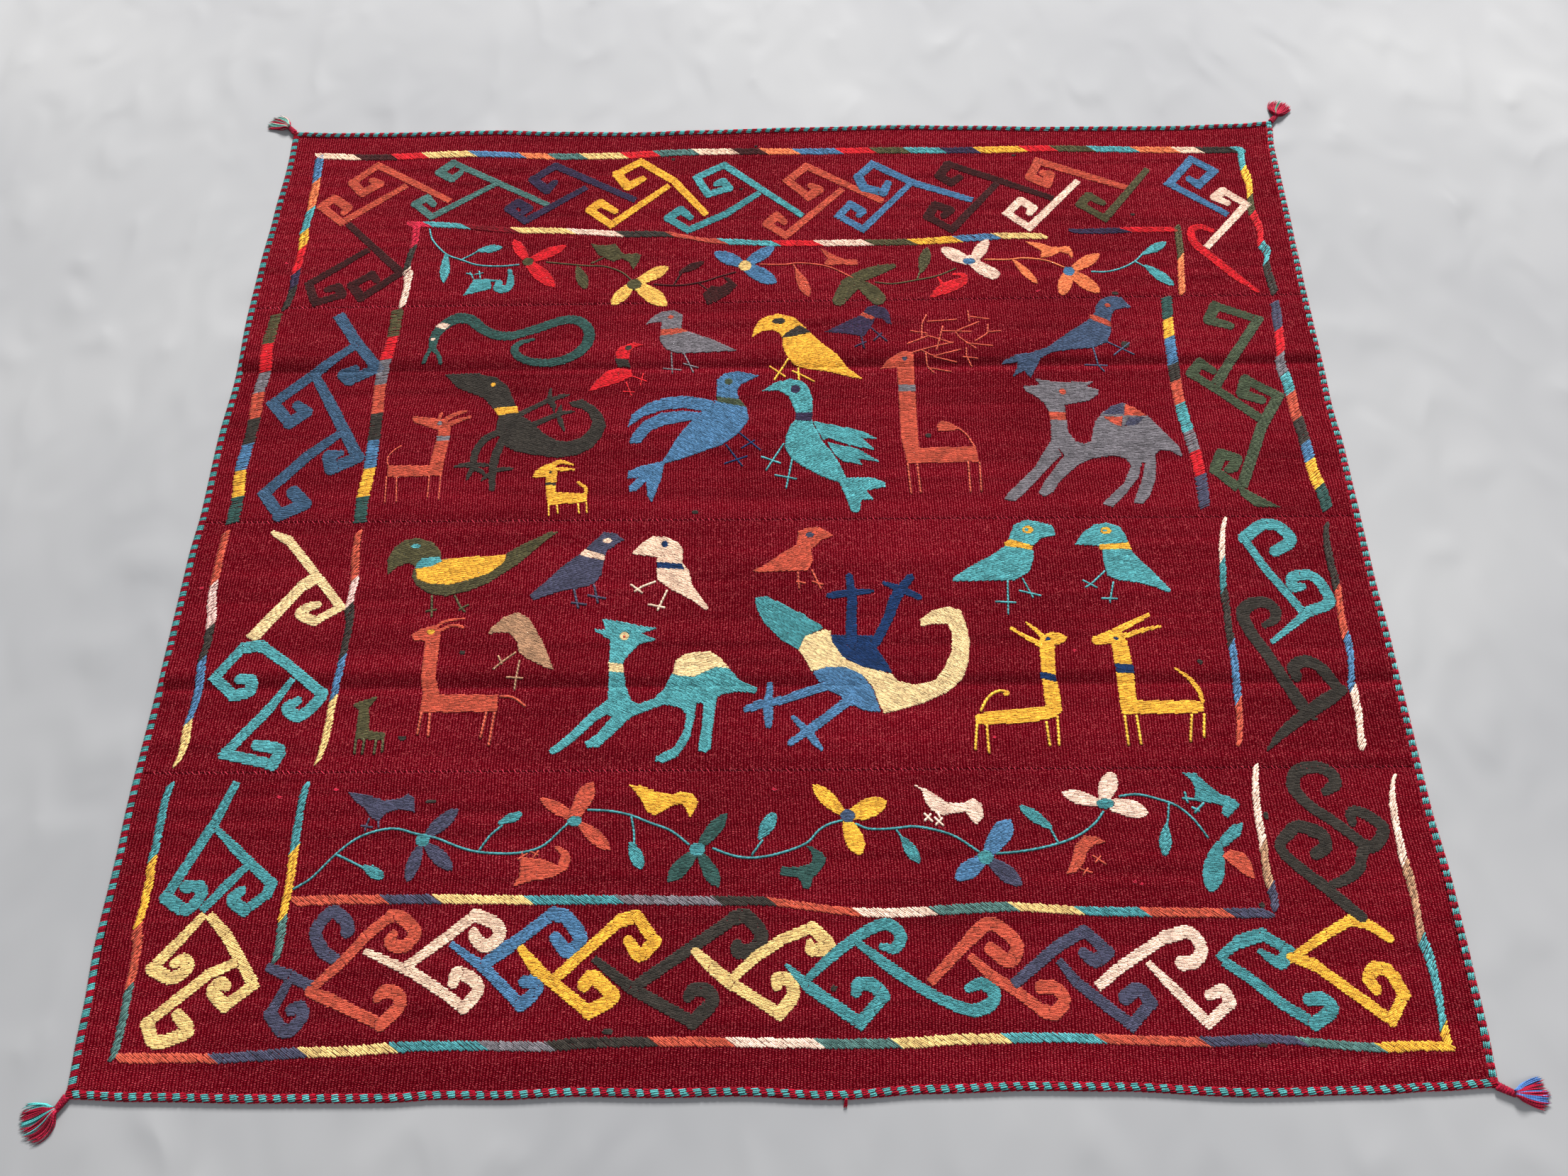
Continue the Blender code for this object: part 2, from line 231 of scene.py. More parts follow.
def strip_rows(low, high):
    """The rows across a strip as shares of its width: close at its two long sides, where it rolls down,
    and over the folds."""
    width = high - low
    hem = np.array([0.0, 0.0012, 0.003, 0.006]) / width
    past_fold = np.array([-24.0, -14.0, -8.0, -4.0, -1.2, 1.2, 5.0, 11.0, 18.0, 26.0, 40.0, 62.0]) * 0.001
    rows = np.concatenate([hem, np.linspace(0.03, 0.97, 7), 1.0 - hem])
    for middle, _ in FOLDS:
        if low < middle < high:
            place = (middle + past_fold - low) / width
            rows = np.concatenate([rows[(rows < place[0] - 0.01) | (rows > place[-1] + 0.01)], place])
    return np.sort(rows)


def strip_plan(number):
    """The strip's points on the floor: rows between its long sides, two points to a rib from end to end.
    The ribs sway by a sine of Y, less near both ends."""
    inset = EDGE_WIDTH - TUCKED_UNDER
    across = np.linspace(0.0, 1.0, 2 * RIBS + 1)
    near_x = LEFT_SIDE[0][1] + inset + (RIGHT_SIDE[0][1] - LEFT_SIDE[0][1] - 2 * inset) * across
    far_x = LEFT_SIDE[-1][1] + inset + (RIGHT_SIDE[-1][1] - LEFT_SIDE[-1][1] - 2 * inset) * across
    lines = [edge_at(NEAR_SIDE, near_x) + inset]
    for left_y, right_y in SEAMS:
        lines.append(left_y + (right_y - left_y) * across)
    lines.append(edge_at(FAR_SIDE, far_x) - inset)
    low = lines[number] + (0.5 * GAP if number > 0 else 0.0)
    high = lines[number + 1] - (0.5 * GAP if number < len(SEAMS) else 0.0)
    rows = strip_rows(low.mean(), high.mean())[:, None]
    y = low + (high - low) * rows
    left = edge_at(LEFT_SIDE, y) + inset
    right = edge_at(RIGHT_SIDE, y) - inset
    sway = SWAY * np.sin(13.0 * (y + 0.24)) * np.sqrt(np.sin(np.pi * across.clip(0.0, 1.0)).clip(0.0, 1.0))
    return left + (right - left) * across + sway, y


def new_piece(name, points, corners, totals, finish, slot, **layers):
    """A mesh from whole arrays: points, the corners of its faces in turn, and how many corners each face
    has. A layer with two numbers a point is a UV map, one with four is a colour, and one with a single
    number a value."""
    mesh = bpy.data.meshes.new(name)
    mesh.vertices.add(len(points))
    mesh.vertices.foreach_set("co", points.astype(np.float32).ravel())
    mesh.loops.add(len(corners))
    mesh.loops.foreach_set("vertex_index", corners.astype(np.int32))
    mesh.polygons.add(len(totals))
    mesh.polygons.foreach_set("loop_start", np.append(0, np.cumsum(totals)[:-1]).astype(np.int32))
    for key, values in layers.items():
        if values.ndim == 1:
            mesh.attributes.new(key, "FLOAT", "POINT").data.foreach_set("value", values.astype(np.float32))
        elif values.shape[1] == 2:
            mesh.uv_layers.new(name=key).data.foreach_set("uv", values[corners].astype(np.float32).ravel())
        else:
            layer = mesh.color_attributes.new(key, "FLOAT_COLOR", "POINT")
            layer.data.foreach_set("color", values.astype(np.float32).ravel())
    mesh.update(calc_edges=True)
    mesh.shade_smooth()
    mesh.materials.append(finish)
    piece = bpy.data.objects.new(name, mesh)
    bpy.context.scene.collection.objects.link(piece)
    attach(piece, "root")
    return piece


def make_strip(number, name, finish):
    """A closed sheet: the upper face follows the lift, the thickness and the ribs, high and low by turns
    along each row; its long sides roll down by a bell curve, and the underside is flat."""
    x, y = strip_plan(number)
    rows, columns = x.shape
    from_side = np.minimum(y - y[:1], y[-1:] - y)
    rolled = np.exp(-((from_side / ROLL_REACH) ** 2))
    rib = np.where(np.arange(columns) % 2 == 0, 0.4, -0.6) * RIB_DEPTH
    z = cloth_lift(x, y) + CLOTH_THICKNESS + rib * (1.0 - rolled) - ROLL_DROP * rolled
    top = np.stack([x, y, z], -1).reshape(-1, 3)
    under = np.stack([x[[0, -1]], y[[0, -1]], np.zeros((2, columns))], -1).reshape(-1, 3)
    number_at = np.arange(rows * columns).reshape(rows, columns)
    under_at = rows * columns + np.arange(2 * columns).reshape(2, columns)
    a, b = number_at[:-1], number_at[1:]
    faces = [
        np.stack([a[:, :-1], a[:, 1:], b[:, 1:], b[:, :-1]], -1).reshape(-1, 4),
        np.stack([under_at[0, :-1], under_at[1, :-1], under_at[1, 1:], under_at[0, 1:]], -1),
        np.stack([under_at[0, :-1], under_at[0, 1:], number_at[0, 1:], number_at[0, :-1]], -1),
        np.stack([number_at[-1, :-1], number_at[-1, 1:], under_at[1, 1:], under_at[1, :-1]], -1),
    ]
    quads = np.concatenate(faces)
    left_end = np.concatenate([[under_at[0, 0]], number_at[:, 0], [under_at[1, 0]]])
    right_end = np.concatenate([[under_at[1, -1]], number_at[::-1, -1], [under_at[0, -1]]])
    corners = np.concatenate([quads.ravel(), left_end, right_end])
    totals = np.concatenate([np.full(len(quads), 4), [len(left_end), len(right_end)]])
    points = np.concatenate([top, under])
    weave = np.stack([np.tile(np.arange(columns) / 2.0, rows + 2), points[:, 1] / BUMP_PITCH], -1)
    # Painted shade along both long sides, darkest where the sheet rolls down into the seam groove.
    worn = np.exp(-((from_side / SEAM_SHADE_REACH) ** 2)).ravel()
    worn = np.append(1.0 - SEAM_SHADE_SHARE * worn, np.ones(2 * columns))
    strip = new_piece(name + "_cloth", points, corners, totals, finish, "strip_wool", weave=weave, worn=worn)
    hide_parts(name)


def wave(tree, turns):
    """A raised cosine from 0 to 1, highest at each whole turn."""
    cosine = maths(tree, "COSINE", maths(tree, "MULTIPLY", turns, 2 * math.pi))
    return maths(tree, "MULTIPLY_ADD", cosine, 0.5, 0.5)


def grey(value):
    """The grey of a value, for a ramp that lightens or darkens."""
    return (value, value, value)


def strip_material(name, streaks_from):
    """Dark red yarn crossings in a brick bond: a painted highlight of light red on each crossing's crown and
    painted shade in the hollows, under slow level streaks of dye and pale flecks of fluff; a painted shade
    band and a painted highlight line beside each fold, and painted shade along both long sides."""
    made, tree, shader = new_material(name, 1.0, 0.0, 0.0)
    where = add(tree, "TexCoord").outputs["Object"]
    moved = add(tree, "Mapping", ((0, where), (1, streaks_from))).outputs[0]
    weave = add(tree, "UVMap", uv_map="weave").outputs[0]
    parts = add(tree, "SeparateXYZ", ((0, weave),)).outputs
    wander = maths(tree, "SUBTRACT", noise(tree, moved, 110.0, 2.0), 0.5)
    rib_place = maths(tree, "MULTIPLY_ADD", wander, 0.9, parts[0])
    rib = wave(tree, rib_place)
    index = maths(tree, "FLOOR", maths(tree, "ADD", rib_place, 0.5))
    half_step = maths(tree, "MULTIPLY", maths(tree, "PINGPONG", index, 1.0), 0.5)
    bump_place = maths(tree, "ADD", maths(tree, "MULTIPLY_ADD", wander, 2.6, parts[1]), half_step)
    dot = wave(tree, bump_place)
    bump_index = maths(tree, "FLOOR", maths(tree, "ADD", bump_place, 0.5))
    cell = add(tree, "CombineXYZ", ((0, index), (1, bump_index))).outputs[0]
    uneven = maths(tree, "MULTIPLY_ADD", add(tree, "TexWhiteNoise", ((0, cell),)).outputs[0], 0.8, 0.5)
    crown = maths(tree, "MULTIPLY", maths(tree, "MULTIPLY", rib, maths(tree, "POWER", dot, 1.3)), uneven)
    height = maths(tree, "MULTIPLY_ADD", crown, 0.90, maths(tree, "MULTIPLY", rib, 0.10))
    # Painted highlight on each crossing's crown and painted shade in the hollows: the colour follows the
    # weave's height.
    yarn = ramped(tree, height, (0.0, (0.046, 0.0005, 0.0024)), (0.26, (0.088, 0.0012, 0.0046)),
                  (0.55, (0.205, 0.0120, 0.0200)), (1.0, (0.320, 0.042, 0.058)))
    level = noise(tree, moved, 1.0, 4.0, (1.6, 60.0, 1.0))
    streaks = ramped(tree, level, (0.3, (0.74, 0.70, 0.72)), (0.7, grey(1.18)))
    cloudy = ramped(tree, noise(tree, moved, 3.2, 3.0), (0.3, grey(0.84)), (0.7, grey(1.14)))
    dyed = blended(tree, "MULTIPLY", 1.0, blended(tree, "MULTIPLY", 1.0, yarn, streaks), cloudy)
    fluff = noise(tree, moved, 420.0, 2.0)
    pale = ramped(tree, fluff, (0.60, grey(0.0)), (0.78, grey(0.5)))
    flecked = blended(tree, "MIX", pale, dyed, (0.62, 0.11, 0.12, 1.0))
    along = add(tree, "SeparateXYZ", ((0, where),)).outputs[1]
    # Painted shade in a broad band just beyond each fold and a painted highlight line just before it,
    # standing in for the light on the fold's slopes.
    painted_fold_light = 0.0
    for middle, height_there in FOLDS:
        for offset, spread, share in ((0.011, 0.012, -0.36), (-0.004, 0.005, 0.24)):
            away = maths(tree, "DIVIDE", maths(tree, "SUBTRACT", along, middle + offset), spread)
            squared = maths(tree, "MULTIPLY", away, away)
            bell = maths(tree, "EXPONENT", maths(tree, "MULTIPLY", squared, -1.0))
            painted_fold_light = maths(tree, "MULTIPLY_ADD", bell, share * height_there / HIGHEST_FOLD, painted_fold_light)
    # The painted shade along the long sides and the painted fold shade and highlight darken and lighten the
    # colour.
    painted_seam_shade = add(tree, "Attribute", attribute_name="worn").outputs["Fac"]
    shade = maths(tree, "MULTIPLY", painted_seam_shade, maths(tree, "ADD", painted_fold_light, 1.0))
    final = blended(tree, "MULTIPLY", 1.0, flecked, shade)
    tree.links.new(final, shader.inputs["Base Color"])
    fine = maths(tree, "MULTIPLY_ADD", fluff, 0.25, height)
    relief = add(tree, "Bump", (("Strength", 0.8), ("Distance", 0.0007), ("Height", fine)))
    tree.links.new(relief.outputs[0], shader.inputs["Normal"])
    return made


for number, name in enumerate(("strip_4", "strip_3", "strip_2", "strip_1")):
    make_strip(number, name, strip_material("crimson wool " + name, (0.0, 0.0, 0.37 * number)))

# The three seams
# Light red wool yarn sewn over the two rolled edges where one strip meets the next.
# Each stitch is short and slanting, one about every eight millimetres.
SEAM_PITCH = 0.0080
SEAM_INSET = 0.014
SEAM_WIDE, SEAM_HIGH = 0.0017, 0.0012
UP = np.array([0.0, 0.0, 1.0])
STITCH_RING = np.array([(-0.5, 0.0), (0.0, 1.0), (0.5, 0.0)])


def linear(colour):
    """Display values from 0 to 255 turned into linear ones."""
    share = np.asarray(colour, float) / 255.0
    return np.where(share <= 0.04045, share / 12.92, ((share + 0.055) / 1.055) ** 2.4)


def yarn_lengths(name, line, side, up, wide, high, ring, colours, finish, slot):
    """Lengths of yarn as one piece. Each runs through a row of points: at an inner one stands a ring of
    corners, the point plus side times wide and up times high by the ring's numbers, and both ends close to
    a point."""
    count, steps, _ = line.shape
    size = len(ring)
    wide = np.broadcast_to(wide, (count, steps))[:, 1:-1, None, None]
    high = np.broadcast_to(high, (count, steps))[:, 1:-1, None, None]
    side = np.broadcast_to(side, line.shape)[:, 1:-1, None]
    up = np.broadcast_to(up, line.shape)[:, 1:-1, None]
    rings = line[:, 1:-1, None] + ring[:, :1] * wide * side + ring[:, 1:] * high * up
    points = np.concatenate([line[:, :1], rings.reshape(count, -1, 3), line[:, -1:]], 1)
    each = points.shape[1]
    here = np.arange(size)
    then = (here + 1) % size
    level = 1 + size * np.arange(steps - 3)[:, None]
    quads = np.stack([level + here, level + then, level + size + then, level + size + here], -1)
    quads = quads.reshape(-1, 4)
    last = each - 1 - size
    ends = np.stack([np.stack([0 * here, 1 + then, 1 + here], -1),
                     np.stack([0 * here + each - 1, last + here, last + then], -1)]).reshape(-1, 3)
    start = each * np.arange(count)[:, None, None]
    corners = np.concatenate([(start + quads).ravel(), (start + ends).ravel()])
    totals = np.concatenate([np.full(count * len(quads), 4), np.full(count * len(ends), 3)])
    lengths = np.linalg.norm(np.diff(line, axis=1), axis=2)
    run = np.concatenate([np.zeros((count, 1)), np.cumsum(lengths, 1)], 1)
    along = np.concatenate([run[:, :1], np.repeat(run[:, 1:-1], size, 1), run[:, -1:]], 1)
    around = np.concatenate([[0.5], np.tile(here / max(size - 1, 1), steps - 2), [0.5]])
    ply = np.stack([along * 1000.0, np.broadcast_to(around, along.shape)], -1).reshape(-1, 2)
    tint = np.repeat(np.hstack([colours, np.ones((count, 1))]), each, 0)
    return new_piece(name, points.reshape(-1, 3), corners, totals, finish, slot, ply=ply, yarn=tint)


def yarn_material(name, twist=2.6, sheen=0.05):
    """Dyed wool yarn: the piece's own colour, broken up by painted shade in the slanting grooves of its
    twisted plies and painted highlight on their crests, by fine fluff, by uneven dye, by painted shade at
    the feet of each yarn where it meets the next, and by a slight painted highlight along its crown."""
    made, tree, shader = new_material(name, 0.85, sheen)
    colour = add(tree, "Attribute", attribute_name="yarn").outputs["Color"]
    ply = add(tree, "UVMap", uv_map="ply").outputs[0]
    parts = add(tree, "SeparateXYZ", ((0, ply),)).outputs
    turn = maths(tree, "ADD", maths(tree, "DIVIDE", parts[0], twist), maths(tree, "MULTIPLY", parts[1], 0.8))
    band = wave(tree, turn)
    where = add(tree, "TexCoord").outputs["Object"]
    fluff = noise(tree, where, 900.0, 2.0)
    # Painted shade in the grooves between the twisted plies and painted highlight on their crests.
    shade = ramped(tree, band, (0.0, grey(0.72)), (0.55, grey(1.0)), (1.0, grey(1.10)))
    spun = ramped(tree, fluff, (0.3, grey(0.80)), (0.7, grey(1.16)))
    # Painted shade at the feet of each yarn, between it and the next, made ragged by noise, and a slight
    # painted highlight on its crown.
    foot = maths(tree, "ABSOLUTE", maths(tree, "MULTIPLY_ADD", parts[1], 2.0, -1.0))
    ragged = maths(tree, "SUBTRACT", noise(tree, where, 330.0, 2.0), 0.5)
    foot = maths(tree, "MULTIPLY_ADD", ragged, 2.2, foot)
    between = ramped(tree, foot, (0.40, grey(1.08)), (0.78, grey(0.80)), (1.0, (0.36, 0.34, 0.33)))
    worn = blended(tree, "MULTIPLY", 1.0, blended(tree, "MULTIPLY", 1.0, colour, shade), spun)
    worn = blended(tree, "MULTIPLY", 1.0, worn, between)
    dyed = ramped(tree, noise(tree, where, 60.0, 3.0), (0.3, grey(0.84)), (0.7, grey(1.14)))
    worn = blended(tree, "MULTIPLY", 1.0, worn, dyed)
    tree.links.new(worn, shader.inputs["Base Color"])
    height = maths(tree, "MULTIPLY_ADD", fluff, 0.5, band)
    relief = add(tree, "Bump", (("Strength", 0.6), ("Distance", 0.0005), ("Height", height)))
    tree.links.new(relief.outputs[0], shader.inputs["Normal"])
    return made


seam_finish = yarn_material("light red sewing wool")
for number, (left_y, right_y) in enumerate(SEAMS):
    chance = np.random.default_rng(40 + number)
    low_x, high_x = LEFT_SIDE[0][1] + SEAM_INSET, RIGHT_SIDE[0][1] - SEAM_INSET
    count = int((high_x - low_x) / SEAM_PITCH)
    mid_x = low_x + (np.arange(count) + 0.5 + chance.uniform(-0.18, 0.18, count)) * SEAM_PITCH
    mid_y = left_y + (right_y - left_y) * (mid_x - low_x) / (high_x - low_x)
    reach = chance.uniform(0.0026, 0.0046, count)
    lean = chance.uniform(0.0012, 0.0036, count)
    share = np.array([-1.0, -0.62, 0.0, 0.62, 1.0])
    x = mid_x[:, None] - lean[:, None] * share
    y = mid_y[:, None] + reach[:, None] * share
    base = CLOTH_THICKNESS + cloth_lift(x, y) + np.array([-0.0014, -0.0004, -0.0006, -0.0004, -0.0014])
    line = np.stack([x, y, base], -1)
    way = np.stack([-lean, reach, 0 * reach], -1) / np.hypot(lean, reach)[:, None]
    side = np.stack([way[:, 1], -way[:, 0], 0 * reach], -1)[:, None]
    tints = linear((176, 42, 62)) * chance.uniform(0.55, 1.2, (count, 1))
    yarn_lengths("seam_%d" % (3 - number), line, side, UP, SEAM_WIDE, SEAM_HIGH, STITCH_RING,
                 tints, seam_finish, "seam_wool")

# The overcast edge
# Teal and red wool yarn worked over the raw edge all round in short blocks, eight or nine millimetres each.
# On three sides the yarns run along the edge; on the left side they are wrapped across it, slanting.
BLOCK = {"near": 0.00915, "far": 0.00885, "left": 0.0081, "right": 0.0083}
ROW_SHIFT = {"near": 0.10, "far": 0.14, "right": 0.02}
ROW_LEAN = {"near": 0.16, "far": 0.06, "right": -0.08}
EDGE_STEPS = 240
WRAP_PITCH = 0.0021
WRAP_SLANT = 0.0042
EDGE_YARN_WIDE, EDGE_YARN_HIGH = 0.0024, 0.0013
TEAL = linear((84, 160, 160))
EDGE_RED = linear((150, 12, 36))
edge_finish = yarn_material("teal and red edge wool")


def side_lines():
    """The middle line of each side's edge, its corners included, from left to right or from near to
    far."""
    half = 0.5 * EDGE_WIDTH
    near_x = np.linspace(LEFT_SIDE[0][1], RIGHT_SIDE[0][1], EDGE_STEPS)
    far_x = np.linspace(LEFT_SIDE[-1][1], RIGHT_SIDE[-1][1], EDGE_STEPS)
    y = np.linspace(NEAR_SIDE[0][1] + EDGE_WIDTH, FAR_SIDE[0][1] - EDGE_WIDTH, EDGE_STEPS)
    return {
        "near": (near_x, edge_at(NEAR_SIDE, near_x) + half, 1.0),
        "far": (far_x, edge_at(FAR_SIDE, far_x) - half, -1.0),
        "left": (edge_at(LEFT_SIDE, y) + half, y, -1.0),
        "right": (edge_at(RIGHT_SIDE, y) - half, y, 1.0),
    }


def on_edge(x, y, outer, run, angle, out=1.0):
    """A place on the edge's round top, from the run along its middle line and an angle, 0 outside and half
    a turn inside: across by its cosine and up by its sine. Returns the place and the way out of the
    surface."""
    length = np.append(0.0, np.cumsum(np.hypot(np.diff(x), np.diff(y))))
    tangent = np.stack([np.gradient(x, length), np.gradient(y, length)], -1)
    middle = np.stack([np.interp(run, length, x), np.interp(run, length, y)], -1)
    way = np.stack([np.interp(run, length, tangent[:, 0]), np.interp(run, length, tangent[:, 1])], -1)
    outward = np.stack([way[..., 1], -way[..., 0]], -1) * outer
    flat = middle + outward * (0.5 * EDGE_WIDTH * out * np.cos(angle))[..., None]
    rise = EDGE_HEIGHT * (0.22 + 0.78 * np.sin(angle)) * out
    normal = np.concatenate([outward * np.cos(angle)[..., None], np.sin(angle)[..., None]], -1)
    return np.concatenate([flat, rise[..., None]], -1), normal


def unit(ways):
    """Each way divided by its own length."""
    return ways / np.linalg.norm(ways, axis=-1, keepdims=True)


ROWS_AT = np.radians([161.0, 135.0, 108.0, 80.0, 53.0, 24.0])
for side_name, (x, y, outer) in side_lines().items():
    chance = np.random.default_rng(len(side_name) * 7)
    length = np.hypot(np.diff(x), np.diff(y)).sum()
    size = BLOCK[side_name]
    blocks = int(round(length / size))
    run = np.linspace(0.0, length, EDGE_STEPS)
    around = np.linspace(math.pi, 0.0, 7)
    place, _ = on_edge(x, y, outer, run[:, None] + 0 * around, around + 0 * run[:, None], 0.94)
    core = np.concatenate([place, place[:, -1:] * (1, 1, 0), place[:, :1] * (1, 1, 0)], 1)
    core_name = "edge_%s_core" % side_name
    grid = np.arange(core.shape[0] * core.shape[1]).reshape(core.shape[:2])
    nearer, further = grid[:-1], grid[1:]
    quads = np.stack([nearer, np.roll(nearer, -1, 1), np.roll(further, -1, 1), further], -1).reshape(-1, 4)
    if outer < 0:
        quads = quads[:, ::-1]
    caps = [grid[0, ::-1], grid[-1]] if outer > 0 else [grid[0], grid[-1, ::-1]]
    corners = np.concatenate([quads.ravel(), *caps])
    totals = np.append(np.full(len(quads), 4), [len(caps[0]), len(caps[1])])
    # The core's colour is the edge red at half strength: painted shade for the gaps between and under the
    # yarns.
    tint = np.tile(np.append(EDGE_RED * 0.5, 1.0), (core.shape[0] * core.shape[1], 1))
    flat_map = np.zeros((len(tint), 2))
    core_piece = new_piece(core_name, core.reshape(-1, 3), corners, totals, edge_finish, "edge_wool",
                           ply=flat_map, yarn=tint)
    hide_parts("edge_" + side_name)
    if side_name == "left":
        count = int(length / WRAP_PITCH)
        start = (np.arange(count) + 0.5) / count * length
        share = np.linspace(0.0, 1.0, 7)
        angle = np.radians(176.0 - 166.0 * share) + 0 * start[:, None]
        at = start[:, None] + WRAP_SLANT * (0.5 - share) + chance.uniform(-0.0004, 0.0004, (count, 1))
        block = np.floor(start / size + 0.2 + chance.uniform(-0.08, 0.08, count)).astype(int)
        teal = block % 2 == 1
    else:
        row_count = len(ROWS_AT)
        rows = np.repeat(np.arange(row_count), blocks)
        block = np.tile(np.arange(blocks), row_count)
        count = len(rows)
        shift = ROW_SHIFT[side_name] * (rows - 0.5 * (row_count - 1))
        teal = (block % 2 == 1) & (rows > 0) & (rows < row_count - 1)
        reach = np.where(teal, 0.60, 0.54) * size + chance.uniform(-0.0008, 0.0008, count)
        centre = (block + 0.5 + shift) * size + chance.uniform(-0.0010, 0.0010, count)
        share = np.array([-1.0, -0.72, 0.0, 0.72, 1.0])
        at = np.clip(centre[:, None] + reach[:, None] * share, 0.0, length)
        angle = ROWS_AT[rows][:, None] + ROW_LEAN[side_name] * share
        angle = angle + chance.uniform(-0.05, 0.05, (count, 1))
    line, normal = on_edge(x, y, outer, at, angle, 0.98)
    aside = unit(np.cross(unit(np.gradient(line, axis=1)), normal))
    tints = np.where(teal[:, None], TEAL, EDGE_RED) * chance.uniform(0.70, 1.2, (count, 1))
    yarn_lengths("edge_%s_yarns" % side_name, line - normal * 0.0002, aside, normal, EDGE_YARN_WIDE,
                 EDGE_YARN_HIGH, STITCH_RING, tints, edge_finish, "edge_wool")

# The corner tassels
# At each corner a short neck of twisted red plies ends in a skirt of cut strands, red and other colours.
# The strands lie on the floor in a fan and the neck holds them with a few turns of yarn.
TASSELS = (
    ("far_left", (-0.8945, 0.8225), (-0.9030, 0.8315), (106, 26), (176, -4), 0.050, (104, 158, 146),
     ((0.08, 0.34), (0.44, 0.50), (0.66, 0.88)), 3),
    ("far_right", (0.912, 0.822), (0.9205, 0.8320), (20, 16), (112, -30), 0.048, (92, 140, 118),
     ((0.55, 0.68),), 5),
    ("near_left", (-0.8985, -0.824), (-0.9050, -0.8345), (166, 14), (268, -30), 0.052, (76, 160, 158),
     ((0.0, 0.14), (0.36, 0.50), (0.64, 0.70)), 7),
    ("near_right", (0.9035, -0.8170), (0.9185, -0.8240), (-34, 10), (30, -6), 0.050, (78, 116, 178),
     ((0.20, 0.42), (0.57, 0.61), (0.80, 1.0)), 9),
)
TASSEL_RED = linear((156, 24, 52))
PALE_WOOL = linear((196, 186, 172))
STRAND_LAYERS, STRANDS_A_LAYER = 3, 20
STRAND_THICK = 0.0014
HEAD_WIDE = 0.0055
NECK_WIDE, NECK_HIGH = 0.0044, 0.0038
NECK_HEIGHT, NECK_RADIUS = 0.0040, 0.0030
BINDING_WIDE, BINDING_HIGH = 0.0018, 0.0014
BINDING_HEIGHT, BINDING_PITCH = 0.0038, 0.0016
ROUND_RING = np.array([(-0.30, -0.40), (-0.50, 0.15), (0.0, 0.5), (0.50, 0.15), (0.30, -0.40)])
tassel_finish = yarn_material("tassel wool", 3.4)


def round_yarns(name, line, wide, high, tints, slot):
    """Round yarns as one piece: at each point their width lies level across the yarn's way, their height
    above it."""
    way = unit(np.gradient(line, axis=1))
    side = unit(np.cross(way, UP))
    return yarn_lengths(name, line, side, np.cross(side, way), wide, high, ROUND_RING, tints,
                        tassel_finish, slot)


def strand_lines(chance, head, start, stop, reach):
    """The skirt's strands from the head: each turns into its own place in the fan by a root of the way
    along it, curls by that way squared, and comes down to its layer by a bell curve. Returns lines, places
    and thickness."""
    (fan_from, curl_from), (fan_to, curl_to) = start, stop
    count = STRAND_LAYERS * STRANDS_A_LAYER
    layer = np.repeat(np.arange(STRAND_LAYERS), STRANDS_A_LAYER)
    place = np.tile(np.arange(STRANDS_A_LAYER), STRAND_LAYERS) + 0.5 + 0.33 * layer
    place = place / STRANDS_A_LAYER + chance.uniform(-0.02, 0.02, count)
    angle = np.radians(fan_from + (fan_to - fan_from) * place)
    far = reach * (1.0 - 0.14 * chance.random(count) - 0.10 * np.abs(2 * place - 1) ** 2)
    share = np.linspace(0.0, 1.0, 10)
    away = far[:, None] * share
    curl = curl_from + (curl_to - curl_from) * place + chance.uniform(-5, 5, count)
    bend = np.radians(curl)[:, None] * share ** 2
    drawn_in = 0.35 + 0.65 * np.minimum(share * 3.0, 1.0) ** 0.6
    middle = math.radians(0.5 * (fan_from + fan_to))
    turn = middle + (angle[:, None] - middle) * drawn_in + bend
    apart = (place[:, None] - 0.5) * HEAD_WIDE + 0 * share
    x = head[0] + away * np.cos(turn) - math.sin(middle) * apart
    y = head[1] + away * np.sin(turn) + math.cos(middle) * apart
    rest = 0.0007 + 0.0010 * layer[:, None]
    fall = (0.0042 - 0.0006 * layer[:, None]) * np.exp(-((share * 3.6) ** 2))
    z = rest + fall + 0.0022 * layer[:, None] * np.exp(-((share - 0.2) * 3.0) ** 2)
    thick = STRAND_THICK * (0.75 + 0.35 * np.sin(math.pi * share)) + 0 * far[:, None]
    return np.stack([x, y, z], -1), place, thick


def neck_lines(corner, head, aside):
    """The neck's three plies from the corner to the head: each goes round the neck's middle line by a
    cosine to the side and a sine upwards, a third of a turn apart."""
    share = np.linspace(-0.25, 1.12, 26)
    turn = 2 * math.pi * (np.arange(3)[:, None] / 3.0 + share * 1.6)
    radius = NECK_RADIUS * (1.25 - 0.35 * np.clip(share, 0, 1))
    x = corner[0] + (head - corner)[0] * share + aside[0] * radius * np.cos(turn)
    y = corner[1] + (head - corner)[1] * share + aside[1] * radius * np.cos(turn)
    return np.stack([x, y, NECK_HEIGHT + 0.0018 * np.sin(turn)], -1)


def binding_lines(head, out, aside):
    """The binding's four turns over the head: rings one after another, and the middle that each goes
    round."""
    turns = np.arange(4)[:, None]
    angle = np.linspace(-0.56 * math.pi, 1.56 * math.pi, 18) + 0 * turns
    along = BINDING_PITCH * (turns - 1.2) + 0.0007 * np.sin(angle)
    x = head[0] + out[0] * along + aside[0] * 0.0036 * np.cos(angle)
    y = head[1] + out[1] * along + aside[1] * 0.0036 * np.cos(angle)
    line = np.stack([x, y, BINDING_HEIGHT + 0.0029 * np.sin(angle)], -1)
    middle = np.stack([head[0] + out[0] * along, head[1] + out[1] * along, BINDING_HEIGHT + 0 * along], -1)
    return line, middle


